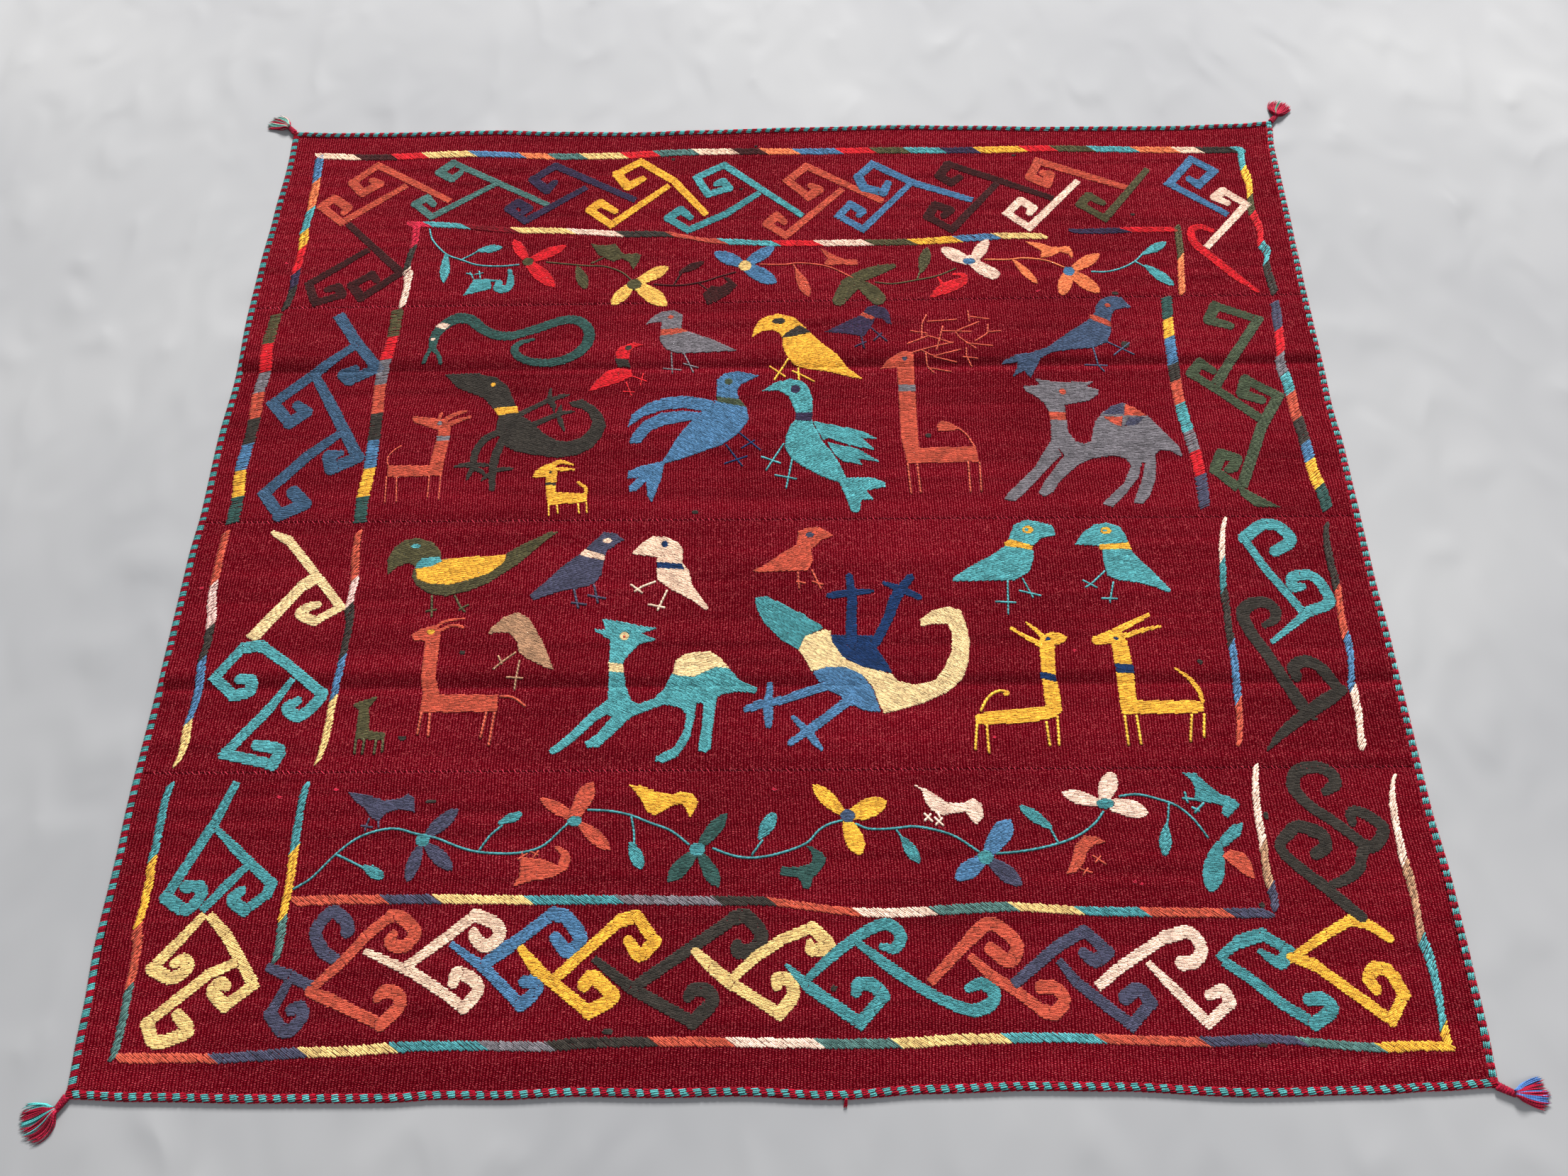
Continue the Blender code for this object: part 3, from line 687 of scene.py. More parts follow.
for name, corner, head, start, stop, reach, second, bundles, seed in TASSELS:
    chance = np.random.default_rng(seed)
    corner, head = np.array(corner), np.array(head)
    out = (head - corner) / np.linalg.norm(head - corner)
    aside = np.array([out[1], -out[0]])
    line, place, thick = strand_lines(chance, head, start, stop, reach)
    count = len(place)
    bundled = np.any([(place > low) & (place < high) for low, high in bundles], axis=0)
    tints = np.where(bundled[:, None], linear(second), TASSEL_RED) * chance.uniform(0.6, 1.2, (count, 1))
    if name == "far_left":
        tints[chance.random(count) < 0.10] = PALE_WOOL
    skirt = round_yarns("tassel_%s_skirt" % name, line, thick, thick, tints, "tassel_wool")
    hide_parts("tassel_" + name)
    tints = TASSEL_RED * np.array([[0.55], [0.75], [0.62]])
    round_yarns("tassel_%s_neck" % name, neck_lines(corner, head, aside), NECK_WIDE, NECK_HIGH, tints,
                "tassel_wool")
    line, middle = binding_lines(head, out, aside)
    up = unit(line - middle)
    side = np.cross(unit(np.gradient(line, axis=1)), up)
    tints = TASSEL_RED * np.array([[0.8], [0.6], [0.9], [0.7]])
    yarn_lengths("tassel_%s_binding" % name, line, side, up, BINDING_WIDE, BINDING_HIGH, ROUND_RING, tints,
                 tassel_finish, "tassel_wool")

# The loose tuft on the near side
# The ends of a red edge yarn, knotted off under the near edge, hang out on the floor as a small tuft.
# It is a few short strands of the edge's own wool.
TUFT_PLACE = (0.0872, -0.8262)
TUFT_STRANDS = 9
TUFT_THICK = 0.0015
chance = np.random.default_rng(71)
share = np.linspace(0.0, 1.0, 7)
spread = chance.uniform(-1.0, 1.0, (TUFT_STRANDS, 1))
x = TUFT_PLACE[0] + spread * (0.0012 + 0.0016 * share) - 0.0010 * share
y = TUFT_PLACE[1] - chance.uniform(0.0095, 0.0125, (TUFT_STRANDS, 1)) * share
z = 0.0008 + chance.uniform(0.0, 0.0012, (TUFT_STRANDS, 1)) + 0.0050 * np.cos(0.5 * math.pi * share) ** 2
tints = EDGE_RED * chance.uniform(0.6, 1.1, (TUFT_STRANDS, 1))
round_yarns("edge_near_tuft", np.stack([x, y, z], -1), TUFT_THICK, TUFT_THICK, tints, "edge_wool")

# The embroidery of the far strip
# Wool yarn in laid stitches, slanting rows of short ones that lap, and in stem stitch for thin lines.
# Frame lines in changing colours, hooked scrolls, and a vine with flowers, leaves and birds.
YARN = {
    "coral": (185, 80, 60), "rust": (170, 70, 55), "red": (200, 30, 40), "rose": (185, 35, 60),
    "orange": (220, 120, 75), "yellow": (230, 170, 60), "straw": (220, 185, 120), "cream": (225, 190, 165),
    "white": (230, 195, 175), "pink": (220, 180, 170), "blue": (75, 115, 150), "navy": (55, 45, 70),
    "royal": (25, 50, 90), "teal": (70, 135, 140), "aqua": (80, 150, 155), "sea": (80, 115, 110),
    "pine": (50, 80, 75), "green": (80, 75, 50), "dark": (55, 50, 45), "brown": (60, 25, 25),
    "grey": (115, 110, 115), "taupe": (170, 130, 100), "denim": (70, 70, 90), "olive": (70, 80, 60),
    "slate": (65, 80, 105), "plum": (115, 10, 25), "steel": (60, 85, 110),
    "ivory": (225, 195, 145), "maize": (230, 180, 90),
}
PITCH = 1.9
LONGEST = 8.5
LAP = 0.5
SCAN = 0.6
HIGHEST_STITCH = 0.0013
STITCH_SPREAD = 1.4


def smooth_path(points, steps=6):
    """A curve through points x,y, x,y: between two of them runs the cubic whose slope at each is half the
    step from the point before it to the point after it."""
    p = np.array(points, float).reshape(-1, 2)
    p = np.vstack([2 * p[0] - p[1], p, 2 * p[-1] - p[-2]])
    t = (np.arange(steps) / steps)[:, None]
    runs = [0.5 * (2 * b + (c - a) * t + (2 * a - 5 * b + 4 * c - d) * t**2 + (3 * b - a - 3 * c + d) * t**3)
            for a, b, c, d in zip(p[:-3], p[1:-2], p[2:-1], p[3:])]
    return np.vstack(runs + [p[-2:-1]])


def ribbon(path, half):
    """A line of stitching with round ends: the places nearer to its middle line than half its width
    there."""
    way = np.diff(path, axis=0)
    length = np.maximum(np.hypot(way[:, 0], way[:, 1]), 1e-9)
    heading = way / length[:, None]

    def test(x, y):
        inside = np.zeros(x.shape, bool)
        for (px, py), (ux, uy), size, h0, h1 in zip(path, heading, length, half, half[1:]):
            along = (x - px) * ux + (y - py) * uy
            part = np.clip(along / size, 0.0, 1.0)
            side = (y - py) * ux - (x - px) * uy
            inside |= np.hypot(side, along - part * size) < h0 + (h1 - h0) * part
        return inside

    return test, path.min(0) - half.max(), path.max(0) + half.max()


def stroke(points, widths):
    """A ribbon of stitching along a smooth curve through points x,y, x,y, its width as smooth as the
    curve."""
    widths = np.broadcast_to(widths, np.size(points) // 2)
    return ribbon(smooth_path(points), 0.5 * smooth_path([(w, 0.0) for w in widths])[:, 0])


def disc(x, y, wide, tall=None):
    """An oval of stitching: inside where its distances, in half widths and half heights, make less than
    one."""
    tall = tall or wide

    def test(px, py):
        return (2 * (px - x) / wide) ** 2 + (2 * (py - y) / tall) ** 2 < 1.0

    reach = 0.5 * np.array([wide, tall])
    return test, np.array([x, y]) - reach, np.array([x, y]) + reach


def patch(*points):
    """A patch inside an outline x,y, x,y: a place is in it when a ray from it crosses the outline an odd
    number of times."""
    corners = np.array(points, float).reshape(-1, 2)

    def test(x, y):
        inside = np.zeros(x.shape, bool)
        for (ax, ay), (bx, by) in zip(corners, np.roll(corners, -1, 0)):
            inside ^= ((ay > y) != (by > y)) & (x < (bx - ax) * (y - ay) / ((by - ay) or 1e-9) + ax)
        return inside

    return test, corners.min(0), corners.max(0)


def bar(start, end, wide, wide_end, back, fore):
    """A straight bar with square ends: the places within half its width of its middle line, which runs
    past its two ends by back and fore."""
    size = max(float(np.hypot(*(end - start))), 1e-6)
    ux, uy = (end - start) / size

    def test(x, y):
        along = (x - start[0]) * ux + (y - start[1]) * uy
        side = np.abs((y - start[1]) * ux - (x - start[0]) * uy)
        half = 0.5 * (wide + (wide_end - wide) * np.clip(along / size, 0.0, 1.0))
        return (side < half) & (along > -back) & (along < size + fore)

    reach = max(wide, wide_end) * 0.5 + max(back, fore)
    return test, np.minimum(start, end) - reach, np.maximum(start, end) + reach


def slope(start, end):
    """The angle of a line in degrees, turned to lie between minus 90 and 90."""
    return (math.degrees(math.atan2(end[1] - start[1], end[0] - start[0])) + 90.0) % 180.0 - 90.0


class Work:
    """The embroidery of one strip: areas to fill, in sewing order, and the stitches laid, in millimetres
    from a start."""

    def __init__(self, seed, start=(0.0, 0.0), bends="round"):
        self.chance = np.random.default_rng(seed)
        self.start = np.array(start)
        self.bends = bends
        self.areas = []
        self.rows = []
        self.yarns = []

    def fill(self, yarn, slant, *shapes):
        """An area to fill with one yarn, at a slant in degrees: the shapes together."""
        self.areas.append((yarn, slant, shapes))

    def arm(self, yarn, width, *points, ends=(0.8, 0.75), shaft=0.88):
        """An arm of a scroll: straight shafts, pointed at their corners and sewn half-way to the
        horizontal, and the hooks at their ends, wider, round or square at their bends and sewn almost
        level."""
        p = np.array(points, float).reshape(-1, 2)
        way = np.diff(p, axis=0)
        size = np.hypot(way[:, 0], way[:, 1])
        heading = way / size[:, None]
        straight = size > 2.4 * width
        wide = np.full(len(p), width + 1.2)
        wide[0] *= ends[0]
        wide[-1] *= ends[1]
        turn = np.arccos(np.clip((heading[1:] * heading[:-1]).sum(1), -1.0, 1.0))
        reach = 0.5 * width * np.minimum(np.tan(0.5 * turn), 0.85)
        back, fore = np.append(0.0, reach), np.append(reach, 0.15 * width)
        first = 0
        for k in range(len(way)):
            if straight[k]:
                first = k + 1
                self.fill(yarn, 0.5 * slope(p[k], p[k + 1]),
                          bar(p[k], p[k + 1], shaft * wide[k], shaft * wide[k + 1], back[k], fore[k]))
                continue
            last = k + int(np.argmax(np.append(straight[k:], True)))
            curve = p[k:k + 2]
            if self.bends == "round":
                curve = smooth_path(p[first:last + 1])[6 * (k - first):6 * (k - first) + 7]
            self.fill(yarn, 0.15 * slope(p[k], p[k + 1]),
                      ribbon(curve, 0.52 * np.linspace(wide[k], wide[k + 1], len(curve))))

    def leaf(self, yarn, width, start, end, slant=None, fat=0.55):
        """A leaf or petal: a stroke narrow at both ends and widest a little past its middle."""
        start, end = np.array(start, float), np.array(end, float)
        points = [start + (end - start) * share for share in (0.0, 0.25, fat, 0.82, 1.0)]
        slant = 0.5 * slope(start, end) if slant is None else slant
        self.fill(yarn, slant, stroke(points, np.array([0.25, 0.72, 1.0, 0.72, 0.12]) * width))

    def line(self, width, slant, path, *yarns):
        """A frame line: slanting stitches side by side along a path, each colour up to a place on it."""
        path = smooth_path(path)
        run = np.append(0.0, np.cumsum(np.hypot(*np.diff(path, axis=0).T)))
        way = path[-1] - path[0]
        level = abs(way[0]) > abs(way[1])
        sine = abs(math.sin(math.radians(slant - slope(path[0], path[-1]))))
        at = np.arange(0.0, run[-1], PITCH / sine)
        mid = np.stack([np.interp(at, run, path[:, 0]), np.interp(at, run, path[:, 1])], 1)
        half = 0.5 * width / sine + self.chance.uniform(-1.4, 1.6, len(at))
        lean = math.cos(math.radians(slant) - math.atan2(way[1], way[0]))
        behind = np.minimum(half, (at + 3.0) / max(abs(lean), 0.01))
        ahead = np.minimum(half, (run[-1] - at + 3.0) / max(abs(lean), 0.01))
        if lean < 0:
            behind, ahead = ahead, behind
        yarn_way = np.array([math.cos(math.radians(slant)), math.sin(math.radians(slant))])
        place = mid[:, 0] if level else -mid[:, 1]
        until = [end if level else -end for _, end in yarns]
        place = place + self.chance.uniform(-1, 1, len(at))
        which = np.minimum(np.searchsorted(until, place), len(yarns) - 1)
        loose = self.chance.uniform(-0.9, 0.9, (2, len(at), 1)) * way / np.hypot(*way)
        self.lay(mid - behind[:, None] * yarn_way + loose[0], mid + ahead[:, None] * yarn_way + loose[1],
                 np.arange(len(at)), [yarns[k][0] for k in which], 15.0)

    def thread(self, yarn, width, *paths, step=6.0, bend=True):
        """Lines of stem stitch: each stitch starts a little to one side and laps past the start of the
        next."""
        for points in paths:
            path = np.array(points, float).reshape(-1, 2)
            if bend and len(path) > 2:
                path = smooth_path(path)
            run = np.append(0.0, np.cumsum(np.hypot(*np.diff(path, axis=0).T)))
            count = max(1, round(run[-1] / step))
            start = np.arange(count) / count * run[-1]
            stop = np.minimum(start + 1.35 * run[-1] / count, run[-1])
            a = np.stack([np.interp(start, run, path[:, 0]), np.interp(start, run, path[:, 1])], 1)
            b = np.stack([np.interp(stop, run, path[:, 0]), np.interp(stop, run, path[:, 1])], 1)
            aside = (b - a)[:, ::-1] * (-1.0, 1.0)
            aside *= 0.1 * width / np.maximum(np.hypot(*aside.T), 1e-6)[:, None]
            aside += self.chance.uniform(-0.35, 0.35, (count, 2))
            self.rows.append(np.hstack([a - aside, b + aside, np.full((count, 1), width)]))
            self.yarns += [yarn] * count

    def lay(self, a, b, row, yarns, longest=LONGEST):
        """Stitches from a to b, a long one as several that lap a little, broken at other places than the
        rows beside it."""
        size = np.maximum(np.hypot(*(b - a).T), 1e-6)
        parts = np.maximum(1, np.ceil(size / longest - 0.15)).astype(int)
        which = np.repeat(np.arange(len(a)), parts)
        place = np.arange(len(which)) - np.repeat(np.cumsum(parts) - parts, parts)
        count = parts[which]
        drift = (0.618 * row[which]) % 1.0 - 0.5
        shift = 0.7 * drift + self.chance.uniform(-0.2, 0.2, len(which))
        lap = LAP / size[which]
        low = np.where(place == 0, 0.0, (place + shift) / count)
        high = np.where(place == count - 1, 1.0, np.roll(low, -1) + lap)
        low = np.where(place == 0, 0.0, low - lap)
        way = (b - a)[which]
        across = way[:, ::-1] * (-1.0, 1.0) / size[which, None]
        loose = 0.18 + 0.035 * size[which, None] / count[:, None]
        aside = self.chance.uniform(-1.0, 1.0, (2, len(which), 1)) * loose * across
        starts = a[which] + low[:, None] * way + aside[0]
        stops = a[which] + high[:, None] * way + aside[1]
        wide = PITCH * self.chance.uniform(0.88, 1.12, (len(which), 1))
        self.rows.append(np.hstack([starts, stops, wide]))
        self.yarns += [yarns[k] for k in which]

    def stitches(self):
        """All stitches: each area is scanned in rows along its slant, and each run inside it, and outside
        the areas sewn later, is a row of yarn."""
        for number, (yarn, slant, shapes) in enumerate(self.areas):
            low = np.min([s[1] for s in shapes], 0)
            high = np.max([s[2] for s in shapes], 0)
            later = [shape for area in self.areas[number + 1:] for shape in area[2]]
            covers = [shape for shape in later if (shape[1] < high).all() and (shape[2] > low).all()]
            c, s = math.cos(math.radians(slant)), math.sin(math.radians(slant))
            corners = np.array([(x, y) for x in (low[0], high[0]) for y in (low[1], high[1])])
            along, across = corners @ (c, s), corners @ (-s, c)
            t = np.arange(math.floor(across.min() / PITCH), math.ceil(across.max() / PITCH) + 1) * PITCH
            u = np.arange(along.min() - 1, along.max() + 1, SCAN)
            us, ts = np.meshgrid(u, t)
            x, y = us * c - ts * s, us * s + ts * c
            mask = np.zeros(x.shape, bool)
            for test, _, _ in shapes:
                mask |= test(x, y)
            for test, _, _ in covers:
                mask &= ~test(x, y)
            edge = np.diff(np.pad(mask, ((0, 0), (1, 1))).astype(np.int8), axis=1)
            row, first = np.nonzero(edge == 1)
            last = np.nonzero(edge == -1)[1]
            keep = last - first > 2
            row, first, last = row[keep], first[keep], last[keep]
            if len(row):
                a = u[0] + (first - 0.5) * SCAN - self.chance.uniform(-0.4, 1.2, len(row))
                b = u[0] + (last - 0.5) * SCAN + self.chance.uniform(-0.4, 1.2, len(row))
                side = t[row] + self.chance.uniform(-0.12, 0.12, len(row))
                starts = np.stack([a * c - side * s, a * s + side * c], 1)
                stops = np.stack([b * c - side * s, b * s + side * c], 1)
                self.lay(starts, stops, row, [yarn] * len(row))
        rows = np.vstack(self.rows)
        rows[:, :4] += np.tile(self.start, 2)
        return rows, self.yarns


def sew(name, work, finish):
    """The stitches of one strip as a piece: each is a low ridge of yarn that lies on the cloth, level but
    for both ends, where it goes down into the cloth."""
    rows, yarns = work.stitches()
    start, stop, wide = rows[:, 0:2] * 0.001, rows[:, 2:4] * 0.001, rows[:, 4] * 0.001
    share = np.array([0.0, 0.09, 0.91, 1.0])
    flat = start[:, None] + (stop - start)[:, None] * share[:, None]
    sunk = np.array([0.0006, -0.0002, -0.0002, 0.0006])
    low = CLOTH_THICKNESS + cloth_lift(flat[..., 0], flat[..., 1]) - sunk
    line = np.concatenate([flat, low[..., None]], -1)
    way = (stop - start) / np.maximum(np.hypot(*(stop - start).T), 1e-6)[:, None]
    side = np.stack([way[:, 1], -way[:, 0], 0 * wide], -1)[:, None]
    height = np.minimum(HIGHEST_STITCH, 0.47 * wide)[:, None] * np.array([0.0, 1.0, 1.0, 0.0])
    tints = np.array([linear(YARN[yarn]) for yarn in yarns])
    tints = tints * work.chance.uniform(0.66, 1.28, (len(wide), 1))
    yarn_lengths(name, line, side, UP, wide[:, None] * STITCH_SPREAD, height, STITCH_RING, tints, finish,
                 "embroidery_wool")


embroidery_finish = yarn_material("embroidery wool", 2.4)
work = Work(11, (0.7, -3.6), "square")
# frame lines
work.line(15, -38, [-845,767, -720,762, -560,768, -415,759, -275,759, -180,765, -60,766, 60,764, 200,765,
    350,763, 500,765, 650,760, 760,757, 850,757], ("cream", -768), ("brown", -702), ("red", -645),
    ("straw", -556), ("blue", -466), ("orange", -412), ("sea", -352), ("straw", -278), ("red", -220),
    ("sea", -150), ("cream", -76), ("brown", -24), ("orange", 36), ("blue", 112), ("red", 178), ("green",
    236), ("aqua", 304), ("navy", 366), ("yellow", 448), ("red", 506), ("green", 575), ("aqua", 652),
    ("orange", 725), ("cream", 768), ("dark", 830), ("aqua", 860))
work.line(14.5, 51, [-838,766, -834,700, -833,640, -836,590, -833,560, -835,510, -834,460, -840,416],
    ("blue", 705), ("orange", 638), ("aqua", 590), ("yellow", 552), ("red", 498), ("navy", 462), ("dark",
    400))
work.line(13.5, 52, [843,760, 841,710, 845,680, 841,640, 839,610, 846,570, 842,540, 850,518, 843,490,
    847,428], ("aqua", 712), ("yellow", 648), ("green", 606), ("red", 540), ("aqua", 495), ("dark", 400))
work.line(13, -32, [-655,602, -600,601, -550,596, -480,587, -370,583, -275,575, -190,573, -120,558,
    -60,554, 0,550, 150,550, 250,551, 330,557, 400,562, 472,560], ("rose", -618), ("aqua", -552), ("plum",
    -462), ("straw", -365), ("white", -276), ("dark", -188), ("rust", -96), ("aqua", 0), ("red", 72),
    ("white", 162), ("green", 236), ("yellow", 316), ("blue", 384), ("straw", 480))
work.line(12, -26, [515,571, 560,570, 615,572, 700,572], ("navy", 612), ("red", 710))
work.line(13, 51, [-639,605, -637,560, -643,505, -637,480, -640,420], ("rose", 550), ("dark", 500),
    ("white", 400))
work.line(12, 52, [703,580, 700,520, 694,470, 690,430], ("green", 512), ("orange", 420))
# scrolls of the far row
work.arm("coral", 15, -585,655, -727,742, -768,701, -746,676, -718,697, -733,706)
work.arm("coral", 15, -668,693, -773,608, -815,645, -795,664, -767,642, -773,630)
work.arm("sea", 14, -408,643, -590,746, -613,724, -588,707, -574,722)
work.arm("sea", 14, -507,694, -614,619, -647,649, -628,663, -614,647)
work.arm("navy", 16, -252,652, -402,736, -440,704, -414,678, -401,696)
work.arm("navy", 15, -342,684, -446,607, -478,635, -463,650, -443,636, -452,626)
work.arm("yellow", 16, -124,616, -186,697, -247,743, -289,714, -268,684, -242,702)
work.arm("yellow", 15, -193,686, -293,596, -333,630, -315,647, -288,627)
work.arm("aqua", 15, 46,612, -95,733, -144,704, -123,664, -86,678, -97,694, -108,688)
work.arm("teal", 15, -30,667, -90,618, -156,582, -192,609, -171,629, -153,611)
work.arm("coral", 16, 190,643, 54,728, 20,694, 57,656, 76,672, 62,682)
work.arm("coral", 15, 118,673, 16,567, -17,594, 0,613, 13,598)
work.arm("blue", 16, 349,644, 244,687, 174,732, 147,702, 156,676, 191,664, 200,686)
work.arm("blue", 14, 240,684, 152,580, 110,611, 131,638, 152,621, 146,612)
work.arm("brown", 15, 493,646, 397,691, 311,730, 293,702, 313,686, 330,698)
work.arm("brown", 15, 396,684, 308,577, 267,607, 282,634, 308,622, 296,609)
work.arm("coral", 17, 628,668, 474,734, 456,697, 484,680, 492,702, 480,706)
work.arm("white", 15, 541,687, 444,580, 408,613, 434,642, 455,625, 447,613)
work.arm("green", 15, 669,713, 579,599, 539,631, 556,652, 579,634)
work.arm("blue", 16, 796,604, 703,677, 751,735, 787,706, 755,674, 740,688)
work.arm("white", 15, 746,530, 832,627, 796,659, 779,644, 799,631)
work.fill("red", -38, stroke([819,434, 788,466, 755,506, 728,540, 726,568, 742,577, 762,568], [6, 14, 16,
    15, 14, 12, 10]))
work.arm("brown", 15, -761,605, -652,494, -713,440, -733,468, -702,490, -692,478)
work.arm("brown", 15, -715,546, -808,471, -791,430, -747,447, -757,464, -774,459)
# vine
work.thread("aqua", 2.6, [-614,592, -605,565, -578,534, -550,521, -520,509, -480,506, -447,509], [-550,521,
    -534,531, -520,542])
work.leaf("aqua", 17, (-578,534), (-575,472))
work.leaf("aqua", 16, (-523,541), (-482,548))
work.fill("aqua", -8, patch(-538,443, -523,478, -493,478, -492,457, -508,452), stroke([-495,475, -479,473],
    5), stroke([-479,470, -480,459, -466,456, -459,470, -463,496], [12, 16, 15, 13, 7]))
work.thread("aqua", 2.0, [-512,478, -516,496], [-524,488, -508,492], [-524,478, -532,494], [-539,492,
    -526,487])
work.leaf("red", 20, (-434,515), (-462,564))
work.leaf("red", 22, (-436,514), (-370,549))
work.leaf("red", 26, (-440,520), (-383,461))
work.fill("green", 0, disc(-433, 515, 19, 17))
work.thread("green", 2.2, [-402,514, -370,510, -330,505, -298,503, -268,490, -250,472])
work.leaf("green", 20, (-346,502), (-328,456))
work.fill("green", 12, patch(-326,554, -306,549, -282,552, -268,530, -243,531, -236,527, -240,512,
    -249,495, -256,512, -270,520, -284,514, -296,520, -312,530), stroke([-300,524, -312,516, -322,510], 3))
work.leaf("maize", 24, (-246,464), (-188,500), fat=0.65)
work.leaf("maize", 24, (-246,466), (-281,421))
work.leaf("maize", 30, (-250,470), (-188,418), fat=0.62)
work.fill("green", 0, disc(-245, 463, 25, 22))
work.thread("brown", 2.4, [-212,463, -169,460, -128,467, -99,478, -70,488], [-177,461, -168,480, -158,498])
work.leaf("brown", 15, (-168,488), (-127,511))
work.fill("brown", 18, patch(-118,418, -127,440, -112,458, -96,456, -84,466, -93,478, -80,474, -68,459,
    -82,440, -98,428))
work.thread("brown", 2.0, [-118,450, -134,464])
work.leaf("blue", 26, (-52,500), (-108,531))
work.leaf("blue", 24, (-58,500), (-5,543))
work.leaf("blue", 30, (-62,504), (-2,464))
work.fill("straw", 0, disc(-55, 501, 22))
work.thread("coral", 2.4, [-29,504, 13,503, 40,506, 88,498, 132,472], [29,503, 38,482])
work.leaf("coral", 19, (34,490), (55,434))
work.fill("coral", -20, patch(76,538, 100,522, 118,513, 139,512, 141,501, 128,500, 112,503, 96,500, 81,502,
    88,515))
work.fill("green", 12, stroke([118,462, 150,478, 178,490, 203,498], [16, 24, 20, 8]))
work.fill("green", 12, stroke([140,466, 120,448, 106,424], [20, 30, 22]))
work.fill("green", 12, stroke([140,462, 160,444, 172,428], [16, 28, 28]))
work.thread("green", 2.2, [168,463, 199,459, 238,466, 276,475, 310,491])
work.thread("green", 2.4, [241,467, 250,492])
work.leaf("green", 20, (249,484), (263,536))
work.fill("red", 24, stroke([263,430, 282,444, 302,454, 320,464, 321,476, 303,478], [5, 20, 22, 16, 9, 4]),
    stroke([284,456, 277,471], [8, 3]))
work.leaf("white", 26, (338,500), (288,535), slant=-22)
work.leaf("white", 22, (336,500), (369,554), slant=-10)
work.fill("white", -24, stroke([334,512, 352,492, 372,478], [14, 24, 24]))
work.fill("blue", 0, disc(333, 506, 22, 13))
work.thread("orange", 2.6, [359,510, 400,509, 429,512, 467,506, 497,490])
work.leaf("orange", 15, (410,507), (446,457))
work.fill("orange", 10, patch(433,549, 461,544, 480,535, 509,537, 515,520, 511,511, 506,520, 492,524,
    474,514, 458,511, 460,527))
work.leaf("orange", 22, (504,482), (559,518))
work.leaf("orange", 24, (504,486), (486,432), slant=12)
work.leaf("orange", 26, (500,486), (550,436))
work.fill("blue", 0, disc(503, 482, 20))
work.thread("aqua", 2.6, [541,481, 567,480, 595,488, 619,502, 637,521], [619,502, 640,486])
work.leaf("aqua", 17, (634,517), (678,543))
work.leaf("aqua", 20, (636,492), (678,450))
work.fill("dark", 0, disc(-188, 749, 7, 5), disc(-64, 676, 6, 4), disc(-38, 778, 7, 4), disc(431, 750, 8,
    4), disc(629, 607, 7, 5), disc(578, 432, 7, 4))
work.fill("rose", -20, disc(-855, 517, 7, 4), disc(446, 440, 8, 4))
sew("embroidery_1", work, embroidery_finish)

# The embroidery of the second strip
# The same laid stitches: scrolls in the side borders, then a snake, a lizard, birds, deer and a camel.
# Eyes and bands have a yarn of their own, and the legs of birds and deer are lines of stem stitch.
work = Work(12, (1.2, -3.0), "square")
work.line(20, 14, [-853,405, -856,343, -850,287, -854,245, -851,196, -852,150, -855,97, -850,51, -850,3],
    ("green", 342), ("red", 287), ("grey", 246), ("coral", 196), ("dark", 147), ("blue", 98), ("yellow",
    50), ("pine", 0))
work.line(20, 10, [-647,413, -647,357, -652,309, -655,261, -652,205, -650,151, -649,97, -652,47, -650,2],
    ("green", 357), ("red", 309), ("grey", 261), ("coral", 205), ("dark", 151), ("blue", 98), ("yellow",
    47), ("pine", 0))
work.line(19, 26, [662,424, 658,380, 654,330, 653,270, 653,220, 656,180, 661,140, 665,100, 666,60, 664,17],
    ("pine", 378), ("yellow", 338), ("blue", 286), ("dark", 252), ("coral", 207), ("aqua", 156), ("grey",
    117), ("red", 73), ("denim", 0))
work.line(18, 38, [843,411, 840,370, 835,320, 829,285, 834,250, 836,215, 836,190, 840,155, 842,115, 844,75,
    850,45, 853,9], ("denim", 355), ("red", 303), ("grey", 264), ("aqua", 227), ("coral", 176), ("dark",
    133), ("blue", 100), ("yellow", 53), ("pine", 0))
# double scrolls at the two ends
work.arm("steel", 20, -747,404, -706,344, -664,292, -707,269, -718,280, -700,291, ends=(1.1, 0.6))
work.arm("steel", 20, -705,341, -773,276, -826,225, -792,186, -769,207, -786,221)
work.arm("steel", 20, -764,276, -730,220, -703,174, -671,120, -710,99, -718,122, -699,128, ends=(0.8, 0.5))
work.arm("steel", 20, -707,165, -751,124, -809,55, -779,16, -742,35, -764,57, ends=(0.8, 1.0))
work.arm("olive", 17, 759,362, 725,374, 742,404, 808,374, 748,290, 716,243, ends=(0.8, 1.1))
work.arm("olive", 16, 778,178, 719,233, 680,266, 698,287, 716,272, ends=(1.1, 0.8))
work.arm("olive", 18, 786,214, 757,226, 768,253, 815,221, 777,162, 729,55, ends=(0.8, 1.0))
work.arm("olive", 16, 722,50, 690,83, 705,113, 728,103, 720,88, 712,84, ends=(1.2, 0.8))
work.fill("olive", -20, patch(719,60, 738,44, 781,15, 742,17, 724,36))
# snake
work.fill("pine", 12, stroke([-577,330, -577,354, -570,370, -555,387, -537,394, -519,390, -501,374,
    -481,361, -462,356, -440,358, -399,373, -373,384, -351,389, -332,384, -318,367, -317,344, -329,322,
    -351,307, -377,300, -409,302, -431,313, -439,328, -431,341, -409,348], [12, 16, 18, 20, 21, 20, 19, 18,
    18, 17, 17, 17, 17, 18, 19, 19, 18, 16, 15, 14, 14, 13, 10, 5]), stroke([-577,338, -583,322, -588,302],
    [9, 7, 7]), stroke([-575,330, -566,318, -560,302], [8, 7, 7]))
work.fill("white", 0, patch(-580,377, -561,370, -552,381, -568,385))
work.fill("white", 0, disc(-579, 350, 8, 6))
